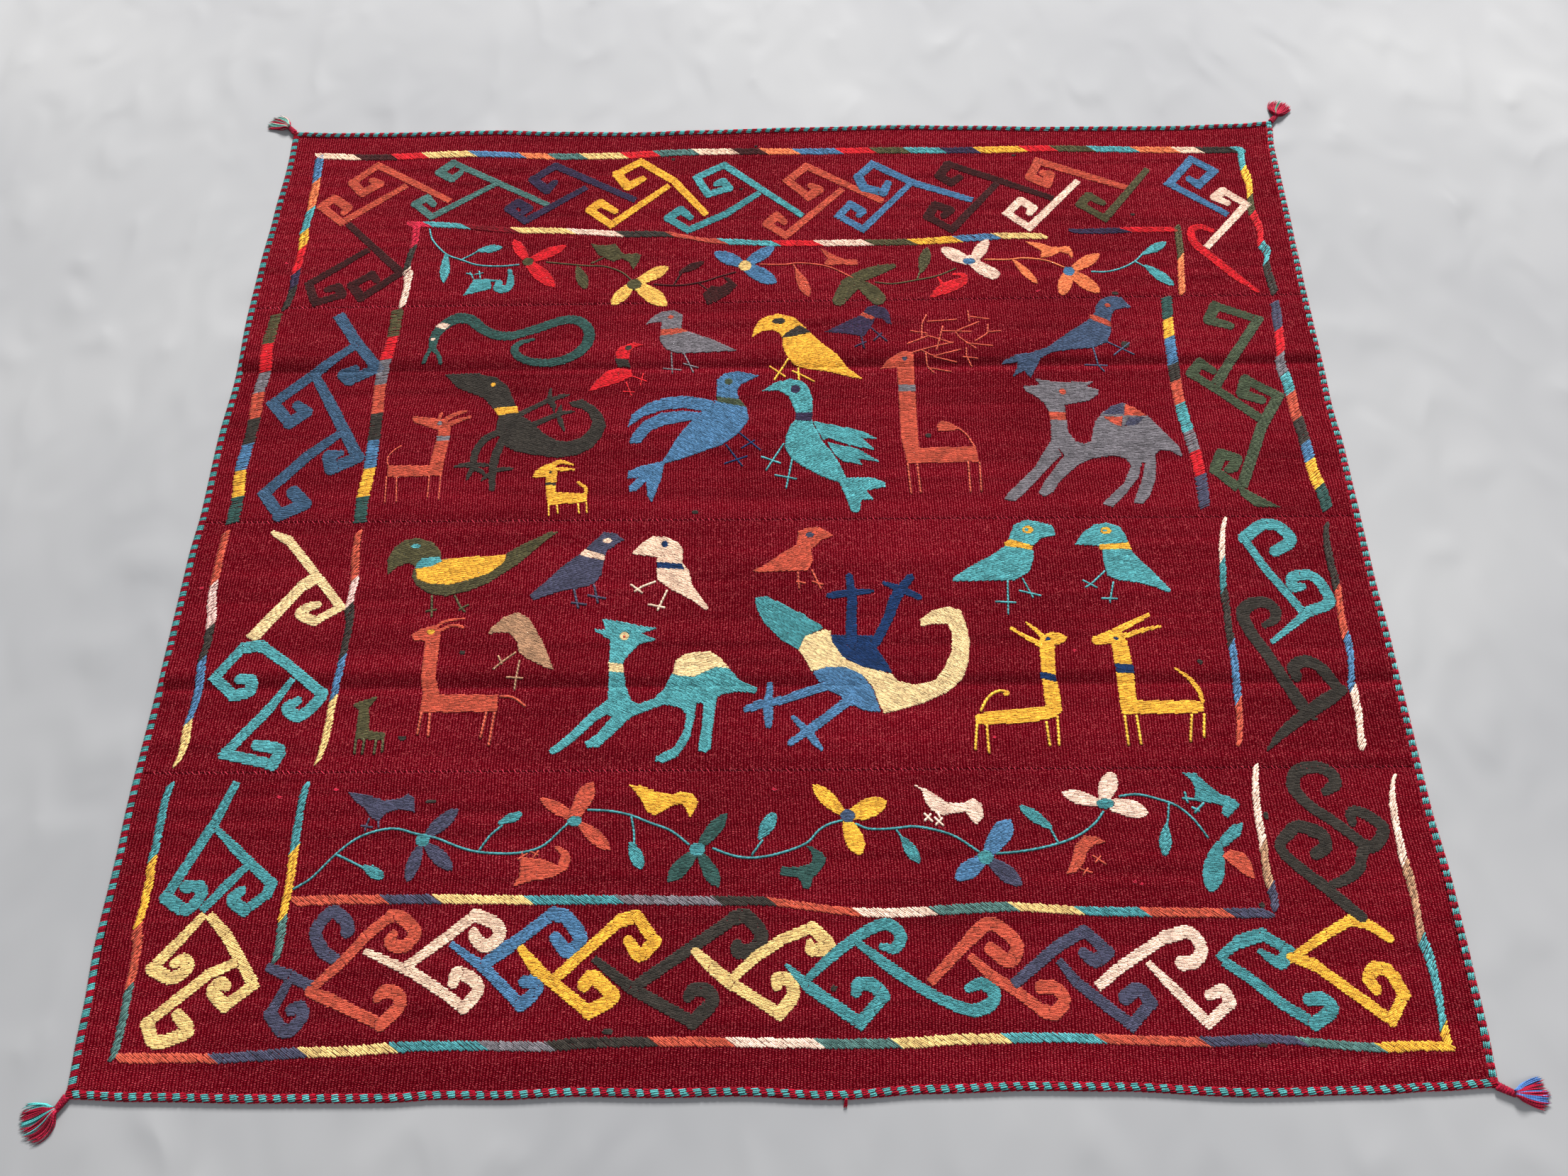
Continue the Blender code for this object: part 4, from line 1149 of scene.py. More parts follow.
# grey bird
work.fill("grey", 8, patch(-222,377, -212,391, -198,402, -176,406, -160,397, -161,368, -152,362, -109,344,
    -66,319, -122,317, -166,315, -186,325, -197,344, -195,382, -206,381))
work.fill("coral", 14, patch(-196,366, -161,368, -150,362, -176,355, -197,353))
work.fill("coral", 0, disc(-180, 392, 9, 7))
work.thread("grey", 2.0, [-176,318, -173,276], [-190,287, -158,283], [-156,317, -138,277], [-156,295,
    -130,287], bend=False)
# red bird
work.fill("red", 14, patch(-222,333, -240,339, -262,331, -270,318, -267,305, -246,305, -245,318, -238,330),
    patch(-264,288, -242,284, -239,271, -262,259, -309,243, -300,262, -282,282))
work.fill("dark", -10, patch(-270,306, -248,304, -243,289, -264,291))
work.fill("dark", 0, disc(-248, 328, 11))
work.thread("red", 2.0, [-240,272, -214,261], [-221,278, -225,252], [-249,261, -238,232], [-254,242,
    -233,240], bend=False)
# small navy bird
work.fill("navy", 14, patch(81,357, 116,378, 146,394, 166,384, 157,365, 145,347, 116,353), patch(146,396,
    154,410, 168,412, 184,406, 190,394, 193,372, 184,374, 179,384, 165,386))
work.fill("coral", -34, patch(140,392, 146,398, 166,386, 160,381))
work.thread("navy", 2.6, [141,348, 145,321], [129,325, 150,336], [157,366, 184,336], [161,337, 176,354],
    bend=False)
# antlers
work.thread("coral", 2.2, [224,312, 260,324, 295,333], [253,392, 244,373, 242,341], [252,377, 304,381],
    [223,358, 252,352], [216,330, 252,346], [248,349, 294,331], [279,368, 265,316], [275,357, 326,355],
    [301,357, 341,376], [299,355, 305,343, 332,319], [323,400, 324,375], [325,387, 358,381], [355,371,
    353,351, 330,335], [353,354, 376,356], [315,331, 360,325], [240,317, 259,304, 306,318], [247,311,
    248,285, 259,272], [251,282, 288,274], [259,303, 298,292], [315,322, 314,303, 322,283], [307,303,
    333,299], bend=False)
# yellow bird
work.fill("yellow", 8, patch(-42,347, -39,366, -29,384, -13,393, 3,396, 28,389, 43,373, 57,354, 75,333,
    100,309, 116,284, 142,261, 119,266, 87,276, 51,282, 28,290, 15,309, 9,328, 9,345, 4,356, -10,363,
    -26,360))
work.fill("dark", 25, patch(38,372, 58,357, 34,350, 8,345, 15,356))
work.fill("dark", 0, disc(3, 381, 22, 13))
work.thread("yellow", 2.8, [19,302, -5,261], [-13,289, 14,267], [35,286, 36,260], [24,279, 38,272, 62,257],
    bend=False)
# slate bird
work.fill("slate", 14, patch(370,287, 378,296, 400,307, 422,310, 451,322, 486,350, 525,378, 537,392,
    539,405, 550,420, 567,427, 586,424, 600,402, 585,402, 572,399, 565,389, 561,373, 560,354, 550,331,
    525,319, 486,316, 457,311, 436,299, 430,286, 417,261, 407,275, 388,264, 396,282, 398,292))
work.fill("coral", -26, patch(527,388, 536,387, 561,373, 560,361, 526,380))
work.fill("coral", 0, disc(560, 407, 10, 8))
work.thread("slate", 2.2, [525,320, 530,284, 539,272], [507,286, 546,284], [550,331, 592,304], [557,303,
    587,329], bend=False)
work.fill("dark", 0, disc(579, 325, 13, 14))
# lizard
work.fill("dark", -14, patch(-550,279, -494,280, -462,270, -444,255, -433,230, -426,214, -421,200,
    -399,185, -377,162, -354,148, -335,146, -316,153, -303,169, -300,185, -307,201, -319,210, -335,214,
    -340,222, -319,227, -300,215, -284,198, -277,175, -284,153, -297,134, -319,121, -351,116, -383,121,
    -415,127, -436,138, -447,158, -455,170, -453,197, -464,212, -481,232, -526,252), stroke([-425,195,
    -398,212, -374,226], [12, 8, 10]), stroke([-396,178, -368,193, -352,200], [12, 9, 10]),
    stroke([-448,166, -470,152, -483,128, -484,100], [12, 13, 12, 11]), stroke([-440,155, -449,125,
    -452,100, -450,60], [14, 14, 13, 9]))
work.fill("dark", 10, stroke([-364,214, -372,230, -372,248], [8, 8, 3]), stroke([-374,224, -358,232,
    -341,237], [8, 8, 3]), stroke([-370,222, -366,214, -363,205], [8, 6, 3]), stroke([-356,198, -354,208,
    -353,215], [7, 6, 3]), stroke([-356,200, -344,202, -331,204], [8, 7, 3]), stroke([-356,198, -350,182,
    -344,168], [8, 8, 3]), stroke([-484,104, -500,104, -514,101], [9, 8, 3]), stroke([-484,100, -488,88,
    -492,77], [9, 8, 3]), stroke([-482,98, -470,92, -463,84], [8, 7, 3]), stroke([-480,104, -466,104,
    -454,102], [8, 7, 3]), stroke([-450,94, -436,96, -421,97], [8, 7, 3]), stroke([-452,90, -462,82,
    -468,76], [8, 6, 3]))
work.fill("yellow", 4, patch(-464,211, -447,213, -425,216, -420,202, -440,200, -453,197))
work.fill("yellow", 0, disc(-468, 258, 8, 8))
# small coral deer
work.fill("coral", 8, patch(-621,104, -554,104, -549,150, -548,170, -590,186, -594,194, -588,197, -552,192,
    -538,190, -528,176, -528,150, -532,104, -532,85, -619,83), stroke([-544,184, -528,198, -506,207], [8,
    8, 4]), stroke([-536,178, -518,188, -499,195], [9, 8, 4]), stroke([-550,188, -548,197, -546,204], [6,
    6, 3]))
work.fill("grey", 0, patch(-549,158, -528,158, -528,150, -548,150))
work.fill("grey", 0, disc(-547, 183, 8, 8))
work.thread("coral", 1.9, [-620,85, -616,36], [-604,85, -598,37], [-552,86, -550,44], [-534,87, -532,41],
    [-620,104, -623,119, -613,134, -603,141])
# small yellow deer
work.fill("yellow", 8, patch(-388,80, -384,92, -367,104, -355,104, -349,90, -349,53, -300,50, -298,35,
    -359,30, -364,51, -367,82), stroke([-360,102, -345,108, -325,103], [8, 7, 3]), stroke([-352,94,
    -340,95, -322,94], [6, 6, 3]), stroke([-301,48, -302,60, -314,70], [5, 6, 5]))
work.fill("dark", 0, patch(-366,71, -349,70, -349,65, -366,66))
work.fill("dark", 0, disc(-360, 89, 5, 5))
work.thread("yellow", 2.4, [-358,31, -356,10], [-345,31, -342,14], [-312,33, -309,14], [-299,35, -297,15],
    bend=False)
# big blue bird
work.fill("blue", -24, patch(-30,270, -64,279, -87,275, -99,263, -99,222, -50,209, -46,185, -61,160,
    -87,138, -122,124, -154,111, -179,104, -184,73, -196,33, -204,45, -207,72, -220,55, -232,52, -234,62,
    -220,78, -237,77, -236,90, -217,99, -182,108, -163,147, -150,169, -128,196, -100,224, -62,224, -66,240,
    -60,253))
work.fill("blue", 12, patch(-130,188, -176,178, -204,166, -220,142, -238,142, -233,159, -217,182, -189,199,
    -154,203, -122,199), patch(-120,202, -154,209, -189,204, -217,193, -242,172, -236,197, -211,218,
    -185,228, -154,232, -122,227, -101,220))
work.fill("olive", -16, patch(-99,230, -61,224, -50,209, -72,214, -99,221))
work.fill("olive", 0, disc(-80, 259, 13, 12))
work.thread("royal", 2.2, [-61,160, -26,126], [-35,146, -58,130], [-83,139, -55,97], [-85,102, -47,116],
    bend=False)
# big teal bird
work.fill("aqua", 22, patch(-25,240, -4,256, 22,263, 41,259, 52,246, 58,222, 57,178, 74,140, 92,114,
    100,98, 109,74, 148,75, 170,66, 170,58, 140,51, 151,35, 132,34, 127,12, 116,13, 104,50, 97,66, 68,79,
    42,95, 22,111, 12,130, 14,153, 22,175, 30,183, 30,198, 19,229, 3,241))
work.fill("aqua", -18, patch(57,181, 135,162, 161,145, 135,148, 157,125, 116,134, 82,148, 74,144),
    patch(80,140, 129,127, 164,103, 129,109, 135,98, 104,105, 91,118))
work.fill("navy", 0, patch(30,197, 58,197, 55,180, 29,183))
work.fill("navy", 0, disc(30, 243, 15, 15))
work.thread("aqua", 2.6, [11,139, -18,89], [-26,115, 6,102], [24,110, 14,56], [-5,81, 31,73], bend=False)
# tall coral deer
work.fill("coral", 3, patch(171,281, 180,294, 199,309, 210,315, 226,312, 226,128, 317,129, 320,102,
    206,100, 199,143, 198,283), patch(257,171, 266,179, 278,175, 295,164, 285,161, 259,160))
work.fill("grey", 0, patch(199,249, 227,249, 227,236, 199,236))
work.fill("denim", 0, disc(211, 300, 8, 8))
work.thread("coral", 2.6, [207,100, 210,44], [222,100, 225,46], [303,102, 303,46], [321,102, 320,47],
    [316,127, 304,153, 290,166], bend=False)
# grey camel
work.fill("grey", -4, patch(402,244, 406,235, 420,226, 433,213, 440,195, 441,172, 438,140, 406,89, 361,44,
    354,33, 372,30, 390,47, 438,99, 452,113, 447,128, 456,112, 422,67, 409,45, 417,37, 432,46, 445,66,
    477,95, 499,106, 522,110, 541,110, 554,104, 560,92, 544,60, 506,24, 522,18, 547,44, 569,72, 577,98,
    582,98, 576,73, 555,25, 569,23, 582,38, 594,66, 600,98, 600,112, 608,120, 624,119, 643,107, 640,127,
    617,159, 598,185, 579,201, 560,211, 541,204, 525,191, 512,175, 506,156, 501,137, 490,133, 477,138,
    467,156, 467,208, 506,215, 523,227, 525,236, 505,244, 519,252, 460,252, 424,259, 430,247))
work.fill("coral", 0, patch(439,195, 467,193, 466,177, 441,180))
work.fill("coral", 0, disc(466, 233, 11, 11))
work.fill("denim", 20, patch(525,189, 541,204, 562,211, 562,188), patch(558,166, 567,182, 593,183,
    578,168))
work.fill("coral", 8, patch(564,208, 579,201, 597,185, 560,186), patch(526,184, 558,184, 553,165, 540,171))
work.fill("dark", 0, disc(-128, 15, 9, 7))
work.fill("dark", 0, disc(243, 151, 9, 9))
work.fill("dark", 0, disc(576, 433, 11, 7))
sew("embroidery_2", work, embroidery_finish)

# The embroidery of the third strip
# The same laid stitches: scrolls in the side borders, then birds, deer, a camel and a long-necked bird.
# The frame lines change colour along their length, and thin legs and feet are lines of stem stitch.
work = Work(13, (1.3, -2.7))
work.line(12, 52, [-856,-13, -857,-49, -857,-100, -855,-130, -849,-160, -847,-200, -849,-226, -845,-263,
    -846,-298, -850,-324, -848,-362, -854,-387], ("coral", -100), ("pink", -174), ("dark", -225), ("blue",
    -322), ("straw", -400))
work.line(11.5, 53, [-649,-14, -649,-49, -644,-88, -643,-110, -645,-139, -640,-165, -641,-209, -642,-241,
    -645,-282, -646,-320, -648,-362, -654,-387], ("coral", -95), ("pink", -138), ("dark", -222), ("blue",
    -287), ("straw", -400))
work.line(10, 55, [692,-4, 683,-33, 676,-78, 674,-95, 670,-125, 670,-151, 667,-193, 667,-225, 664,-272,
    663,-298, 660,-330, 653,-367], ("white", -76), ("teal", -124), ("dark", -212), ("blue", -302),
    ("coral", -400))
work.line(11, 55, [846,-14, 840,-43, 839,-81, 840,-113, 840,-135, 837,-165, 836,-193, 838,-215, 836,-240,
    830,-272, 831,-298, 830,-330, 826,-359, 827,-375], ("dark", -122), ("coral", -202), ("blue", -284),
    ("white", -400))
# scrolls at the two ends
work.arm("ivory", 14, -782,-16, -755,-30, -704,-88, -657,-143, -693,-166, -716,-155, -709,-144, -692,-139,
    ends=(0.5, 0.7))
work.arm("ivory", 18, -703,-94, -721,-107, -782,-193, ends=(1.0, 1.2))
work.arm("aqua", 16, -768,-205, -793,-209, -824,-256, -792,-283, -770,-277, -770,-260, -788,-258,
    ends=(1.1, 0.8))
work.arm("aqua", 16, -776,-204, -762,-208, -723,-234, -663,-281, -667,-292, -690,-315, -710,-303,
    -697,-292)
work.arm("aqua", 16, -709,-258, -736,-304, -788,-371, -716,-387, -711,-366, -744,-358, ends=(0.6, 0.9))
work.arm("aqua", 17, 758,-62, 786,-43, 771,-19, 747,-16, 715,-39, 739,-92, 784,-167, ends=(0.9, 1.0),
    shaft=0.72)
work.arm("aqua", 15, 789,-121, 775,-122, 776,-107, 797,-101, 813,-110, 821,-127, 823,-149, 792,-162,
    727,-211, ends=(0.7, 0.5))
work.fill("dark", 8, stroke([721,-184, 736,-176, 741,-160, 728,-147, 706,-150, 692,-165, 697,-192,
    713,-225, 732,-268, 752,-308], [9, 14, 17, 18, 19, 20, 19, 18, 18, 20]))
work.fill("dark", -12, stroke([752,-265, 750,-252, 768,-242, 787,-251, 803,-274, 814,-289], [16, 18, 18,
    18, 17, 12]), stroke([815,-286, 792,-300, 757,-322, 720,-348, 691,-376], [14, 20, 18, 14, 3]))
# green bird with a yellow body
work.fill("green", 14, patch(-594,-89, -598,-64, -590,-43, -574,-30, -557,-27, -532,-34, -518,-50,
    -515,-64, -440,-60, -416,-56, -402,-45, -380,-33, -354,-19, -339,-17, -358,-34, -377,-53, -399,-75,
    -421,-91, -440,-105, -469,-118, -500,-126, -529,-121, -548,-107, -557,-92, -554,-76, -564,-69,
    -580,-75))
work.fill("yellow", 6, patch(-553,-80, -513,-65, -478,-60, -440,-59, -416,-57, -418,-70, -440,-89,
    -469,-99, -497,-107, -529,-105, -548,-97))
work.fill("aqua", 0, patch(-545,-62, -519,-59, -513,-67, -529,-76, -554,-80, -552,-72))
work.fill("aqua", 0, disc(-557, -41, 15, 7))
work.thread("green", 2.6, [-522,-124, -518,-161], [-529,-151, -511,-148], [-488,-124, -475,-147],
    [-479,-149, -464,-140], [-477,-144, -468,-153], bend=False)
# four small birds
work.fill("denim", 12, patch(-236,-33, -249,-22, -268,-19, -282,-34, -303,-57, -329,-78, -348,-100,
    -367,-118, -374,-126, -367,-134, -335,-121, -303,-115, -278,-107, -268,-92, -265,-65, -262,-50,
    -252,-45, -246,-38))
work.fill("cream", -18, patch(-303,-56, -295,-48, -264,-59, -265,-68, -300,-60))
work.fill("cream", 20, disc(-262, -34, 14, 9))
work.thread("denim", 2.8, [-308,-115, -299,-148], [-311,-138, -286,-142], [-278,-108, -270,-140],
    [-287,-126, -258,-132], bend=False)
work.fill("cream", -18, patch(-224,-57, -208,-38, -192,-27, -172,-29, -154,-37, -145,-50, -145,-74,
    -134,-88, -129,-111, -102,-150, -108,-152, -128,-136, -160,-118, -182,-101, -185,-78, -184,-63,
    -204,-60))
work.fill("royal", -4, patch(-184,-71, -145,-75, -142,-84, -184,-81))
work.fill("royal", 0, disc(-173, -41, 10, 11))
work.thread("cream", 2.8, [-184,-104, -206,-113], [-223,-108, -203,-124], [-217,-121, -205,-113],
    [-166,-118, -180,-153], [-195,-142, -168,-148], bend=False)
work.fill("coral", 14, patch(87,-28, 66,-14, 48,-14, 32,-21, 30,-43, 6,-59, -20,-79, -38,-87, -29,-90,
    20,-88, 46,-88, 54,-72, 52,-52, 68,-36))
work.fill("denim", 0, disc(50, -27, 12, 10))
work.thread("coral", 2.6, [31,-89, 33,-119], [28,-106, 43,-109], [52,-86, 66,-119], [52,-106, 70,-112],
    bend=False)
work.fill("taupe", -16, patch(-430,-190, -428,-180, -409,-161, -388,-154, -372,-164, -360,-182, -348,-202,
    -328,-247, -345,-241, -370,-228, -382,-218, -386,-201, -399,-187, -418,-186))
work.thread("taupe", 2.4, [-385,-218, -405,-234, -417,-246], [-412,-223, -404,-238], [-379,-231,
    -383,-278], [-397,-258, -371,-260], bend=False)
# coral deer and the tiny green one
work.fill("coral", 3, patch(-545,-190, -532,-180, -511,-174, -501,-185, -500,-257, -491,-284, -405,-285,
    -405,-310, -517,-311, -516,-283, -521,-257, -523,-199, -539,-198), stroke([-512,-178, -494,-167,
    -469,-163], [5, 4, 3]), stroke([-504,-183, -485,-174, -469,-177], [5, 4, 4]))
work.fill("yellow", 0, disc(-516, -185, 12, 9))
work.thread("coral", 3.2, [-514,-310, -516,-345], [-502,-311, -500,-348], [-420,-310, -425,-351],
    [-408,-310, -412,-362], [-404,-287, -383,-289, -364,-303])
work.fill("green", 8, patch(-616,-299, -605,-293, -592,-289, -580,-285, -584,-292, -591,-302, -586,-338,
    -562,-341, -562,-352, -604,-350, -606,-305))
work.thread("green", 3.0, [-603,-350, -602,-373], [-591,-350, -591,-373], [-574,-351, -574,-373],
    [-564,-351, -563,-370], bend=False)
# camel
work.fill("aqua", -24, patch(-262,-165, -225,-172, -201,-178, -177,-181, -203,-190, -177,-200, -203,-206,
    -220,-225, -227,-238, -224,-254, -220,-276, -211,-295, -201,-300, -179,-292, -166,-279, -157,-260,
    -148,-245, -84,-240, -70,-248, -55,-266, -30,-277, -31,-285, -58,-282, -80,-286, -88,-292, -93,-336,
    -95,-368, -103,-374, -113,-370, -109,-336, -107,-301, -117,-298, -119,-320, -125,-352, -141,-378,
    -160,-388, -174,-385, -172,-379, -147,-365, -134,-340, -131,-317, -140,-306, -163,-301, -185,-309,
    -211,-320, -230,-340, -255,-365, -271,-365, -275,-357, -259,-346, -238,-318, -247,-316, -262,-327,
    -287,-352, -310,-371, -322,-375, -325,-368, -297,-343, -268,-311, -246,-293, -246,-257, -248,-199,
    -276,-182, -256,-184))
work.fill("ivory", 10, patch(-153,-255, -150,-234, -134,-223, -99,-219, -83,-231, -70,-247, -90,-245,
    -106,-252, -122,-260, -144,-258), patch(-248,-236, -226,-239, -225,-253, -246,-250))
work.fill("ivory", 0, disc(-227, -194, 14))
work.fill("coral", 0, disc(-227, -194, 4))
# long-necked bird on its back
work.fill("teal", -32, patch(-34,-133, -16,-130, 6,-142, 38,-160, 70,-183, 41,-196, 31,-218, 6,-202,
    -20,-174, -32,-148))
work.fill("royal", -30, patch(79,-194, 96,-195, 146,-196, 152,-205, 146,-216, 159,-238, 168,-256, 147,-252,
    122,-245, 97,-231, 81,-206))
work.fill("royal", 8, stroke([109,-205, 110,-170, 112,-135, 109,-99], [17, 16, 15, 11]), stroke([78,-130,
    110,-126, 143,-123], [9, 13, 5]), stroke([146,-205, 165,-168, 179,-132, 201,-101], [15, 15, 17, 12]),
    stroke([161,-110, 188,-121, 213,-134], [6, 12, 9]))
work.fill("ivory", -26, patch(68,-186, 79,-188, 81,-206, 97,-231, 122,-245, 148,-252, 167,-258, 174,-268,
    199,-274, 228,-268, 243,-250, 256,-222, 258,-193, 253,-178, 231,-178, 213,-182, 212,-171, 231,-156,
    256,-150, 274,-156, 279,-174, 284,-206, 279,-241, 269,-266, 247,-285, 215,-300, 176,-312, 153,-317,
    146,-301, 138,-276, 122,-257, 100,-246, 71,-246, 50,-252, 41,-234, 31,-218, 41,-196))
work.fill("blue", -28, patch(51,-254, 71,-246, 100,-246, 122,-257, 138,-279, 149,-315, 128,-313, 103,-303,
    90,-290, 66,-276))
work.fill("blue", 18, stroke([76,-272, 40,-285, 6,-296, -14,-300], [14, 13, 12, 12]), stroke([-14,-300,
    -28,-303, -45,-309], [12, 13, 9]), stroke([-14,-300, -12,-286, -11,-272], [12, 11, 8]),
    stroke([-14,-300, -13,-318, -13,-333], [12, 14, 10]), stroke([104,-296, 76,-318, 50,-338, 40,-344],
    14), stroke([42,-342, 32,-332, 22,-322], [12, 9, 6]), stroke([42,-342, 30,-352, 18,-360], [12, 10, 9]),
    stroke([42,-342, 52,-356, 62,-369], [12, 11, 6]))
# two teal birds
work.fill("aqua", 12, patch(428,-29, 425,-14, 403,-7, 384,-4, 365,-13, 358,-30, 348,-50, 326,-65, 294,-83,
    266,-102, 264,-108, 326,-107, 358,-107, 382,-93, 391,-69, 391,-50, 406,-35, 425,-31), patch(456,-47,
    470,-27, 490,-13, 509,-10, 528,-17, 536,-33, 539,-56, 550,-72, 566,-91, 592,-126, 587,-129, 563,-118,
    541,-112, 515,-108, 499,-100, 496,-78, 496,-50))
work.fill("yellow", -14, patch(357,-37, 391,-49, 390,-56, 348,-49, 348,-44))
work.fill("yellow", 3, patch(492,-48, 538,-44, 541,-56, 492,-56))
work.fill("yellow", 0, disc(386, -21, 17, 13), disc(506, -24, 17, 12))
work.fill("aqua", 0, disc(384, -21, 7, 5), disc(504, -24, 7, 4))
work.thread("aqua", 2.4, [348,-107, 344,-164], [326,-142, 358,-144], [370,-103, 384,-137], [363,-124,
    396,-133], [497,-92, 472,-115, 463,-120], [460,-107, 482,-121], [507,-110, 497,-146], [485,-138,
    510,-139], bend=False)
# two yellow deer face to face
work.fill("yellow", 5, patch(427,-201, 422,-210, 408,-214, 404,-256, 408,-288, 408,-316, 397,-325,
    358,-333, 283,-335, 283,-321, 304,-315, 385,-308, 384,-257, 385,-214, 388,-200, 403,-193, 416,-193),
    patch(462,-207, 466,-213, 491,-211, 492,-260, 493,-321, 598,-320, 612,-317, 612,-304, 598,-301,
    517,-301, 518,-260, 515,-209, 508,-192, 499,-188, 464,-202))
work.fill("yellow", 24, stroke([499,-192, 525,-180, 552,-166], [9, 8, 5]), stroke([512,-200, 540,-191,
    566,-185], [8, 7, 4]))
work.fill("yellow", -28, stroke([346,-186, 366,-199, 388,-213], [4, 7, 9]), stroke([370,-177, 381,-188,
    394,-202], [3, 6, 8]), stroke([611,-303, 609,-288, 598,-269, 578,-252], [6, 7, 6, 3]))
work.fill("royal", -8, patch(382,-255, 405,-261, 405,-271, 382,-266), patch(492,-244, 519,-246, 519,-260,
    493,-258))
work.fill("royal", 0, disc(399, -204, 7, 6), disc(499, -204, 7, 5))
work.thread("yellow", 3.4, [285,-334, 280,-373], [299,-334, 299,-378], [384,-330, 386,-368], [401,-322,
    399,-367], [291,-316, 304,-294, 320,-284, 332,-286], [497,-322, 497,-368], [514,-322, 515,-367],
    [593,-321, 585,-363], [611,-320, 605,-357])
work.fill("yellow", 0, disc(331, -288, 9, 8))
work.fill("dark", 0, disc(-850, -190, 9, 8), disc(-537, -349, 12, 6), disc(-465, -218, 9, 6), disc(616,
    -242, 8, 7), disc(767, -330, 9, 5))
work.fill("rose", -20, disc(-875, -110, 7, 4), disc(436, -223, 6, 5), disc(309, -354, 6, 5))
sew("embroidery_3", work, embroidery_finish)

# The embroidery of the near strip
# The same laid stitches: hooked scrolls between two frame lines, and a vine with flowers, leaves and birds.
# The vine is a line of stem stitch, and each flower has petals round a small middle.
work = Work(14, (1.3, -2.6))
work.line(11.5, 52, [-855,-414, -858,-442, -857,-487, -857,-525, -855,-551, -855,-583, -857,-612,
    -852,-632, -850,-662, -850,-691, -849,-742, -851,-776], ("teal", -520), ("yellow", -608), ("coral",
    -687), ("sea", -800))
work.line(11.5, 53, [-663,-414, -665,-442, -665,-487, -663,-535, -663,-567, -664,-595, -662,-630,
    -664,-656], ("teal", -508), ("yellow", -600), ("sea", -700))
work.line(11, 53, [671,-398, 665,-430, 662,-468, 662,-512, 660,-545, 663,-570, 664,-596], ("white", -510),
    ("taupe", -566), ("denim", -700))
work.line(11, 55, [861,-414, 855,-430, 850,-455, 848,-503, 848,-532, 851,-567, 850,-599, 848,-633,
    853,-662, 853,-710, 850,-742, 852,-766], ("white", -535), ("taupe", -635), ("aqua", -745), ("yellow",
    -800))
work.line(12, -34, [-654,-578, -593,-576, -500,-576, -440,-576, -335,-578, -217,-578, -100,-580, -20,-581,
    39,-588, 103,-596, 160,-597, 205,-595, 260,-592, 310,-590, 350,-592, 406,-596, 486,-598, 601,-600,
    658,-600], ("coral", -530), ("denim", -462), ("straw", -335), ("teal", -212), ("grey", -82), ("dark",
    -6), ("coral", 108), ("white", 208), ("sea", 314), ("straw", 402), ("teal", 490), ("coral", 602),
    ("denim", 700))
work.line(12, -34, [-846,-774, -749,-774, -727,-775, -669,-772, -609,-768, -558,-767, -494,-763, -462,-761,
    -377,-761, -297,-762, -249,-758, -160,-757, -58,-758, 52,-760, 157,-760, 230,-756, 291,-755, 342,-754,
    412,-756, 541,-760, 627,-757, 668,-760, 706,-764, 764,-768, 802,-766, 856,-767], ("coral", -724),
    ("denim", -608), ("straw", -494), ("teal", -378), ("grey", -290), ("dark", -158), ("coral", -60),
    ("white", 54), ("sea", 152), ("straw", 292), ("aqua", 412), ("coral", 542), ("denim", 668), ("sea",
    764), ("yellow", 900))
# scrolls at the left end
work.arm("teal", 15, -762,-412, -781,-468, -828,-572, -797,-588, -781,-570, -785,-558, -803,-557,
    ends=(0.8, 1.0))
work.arm("teal", 14, -779,-477, -743,-509, -687,-554, -691,-568, -717,-590, -737,-575, -727,-564,
    ends=(0.6, 0.9))
work.arm("teal", 15, -719,-523, -749,-557, -774,-588, ends=(0.7, 0.8))
work.arm("straw", 15, -770,-594, -800,-633, -826,-664, -797,-676, -779,-664, -785,-653, -797,-657)
work.arm("straw", 15, -764,-595, -736,-621, -711,-653, -687,-685, -719,-711, -739,-694, -731,-683,
    -722,-687)
work.arm("straw", 15, -714,-656, -749,-672, -817,-732, -800,-755, -766,-745, -763,-738, -779,-722,
    ends=(0.9, 0.9))
# scrolls of the near row
work.arm("denim", 14, -670,-664, -641,-674, -610,-688, ends=(0.7, 1.0))
work.arm("denim", 15, -641,-681, -659,-722, -635,-743, -617,-727, -620,-714, -632,-716, ends=(0.8, 0.9))
work.arm("denim", 15, -578,-657, -602,-643, -616,-620, -610,-603, -596,-592, -577,-606, -574,-617,
    ends=(0.8, 1.1))
work.arm("coral", 15, -608,-689, -574,-656, -548,-624, -519,-598, -506,-599, -484,-618, -490,-633,
    -501,-638, -515,-632, -512,-622, ends=(0.8, 0.7))
work.arm("coral", 15, -612,-694, -580,-706, -513,-735, -492,-713, -497,-698, -513,-694, -522,-702,
    ends=(0.8, 0.7))
work.arm("cream", 14, -548,-643, -481,-670, -440,-694, -408,-715, -391,-694, -400,-680, -421,-671,
    -425,-684, ends=(0.6, 0.9))
work.arm("cream", 15, -491,-664, -440,-626, -405,-597, -377,-609, -370,-624, -386,-638, -401,-628,
    -405,-620)
work.arm("blue", 15, -434,-634, -384,-667, -334,-712, -315,-694, -319,-683, -333,-683, ends=(0.5, 0.8))
work.arm("blue", 17, -384,-659, -354,-637, -301,-596, -282,-602, -262,-629, -277,-645, -296,-627,
    ends=(0.8, 0.8))
work.arm("yellow", 16, -339,-642, -316,-668, -245,-721, -215,-704, -224,-692, -243,-677, -253,-687,
    ends=(0.6, 1.0))
work.arm("yellow", 16, -295,-682, -211,-606, -188,-600, -163,-633, -182,-650, -198,-632, ends=(0.9, 0.8))
work.arm("dark", 16, -243,-654, -192,-691, -110,-734, -86,-710, -91,-696, -109,-694, -116,-702, ends=(0.6,
    0.8))
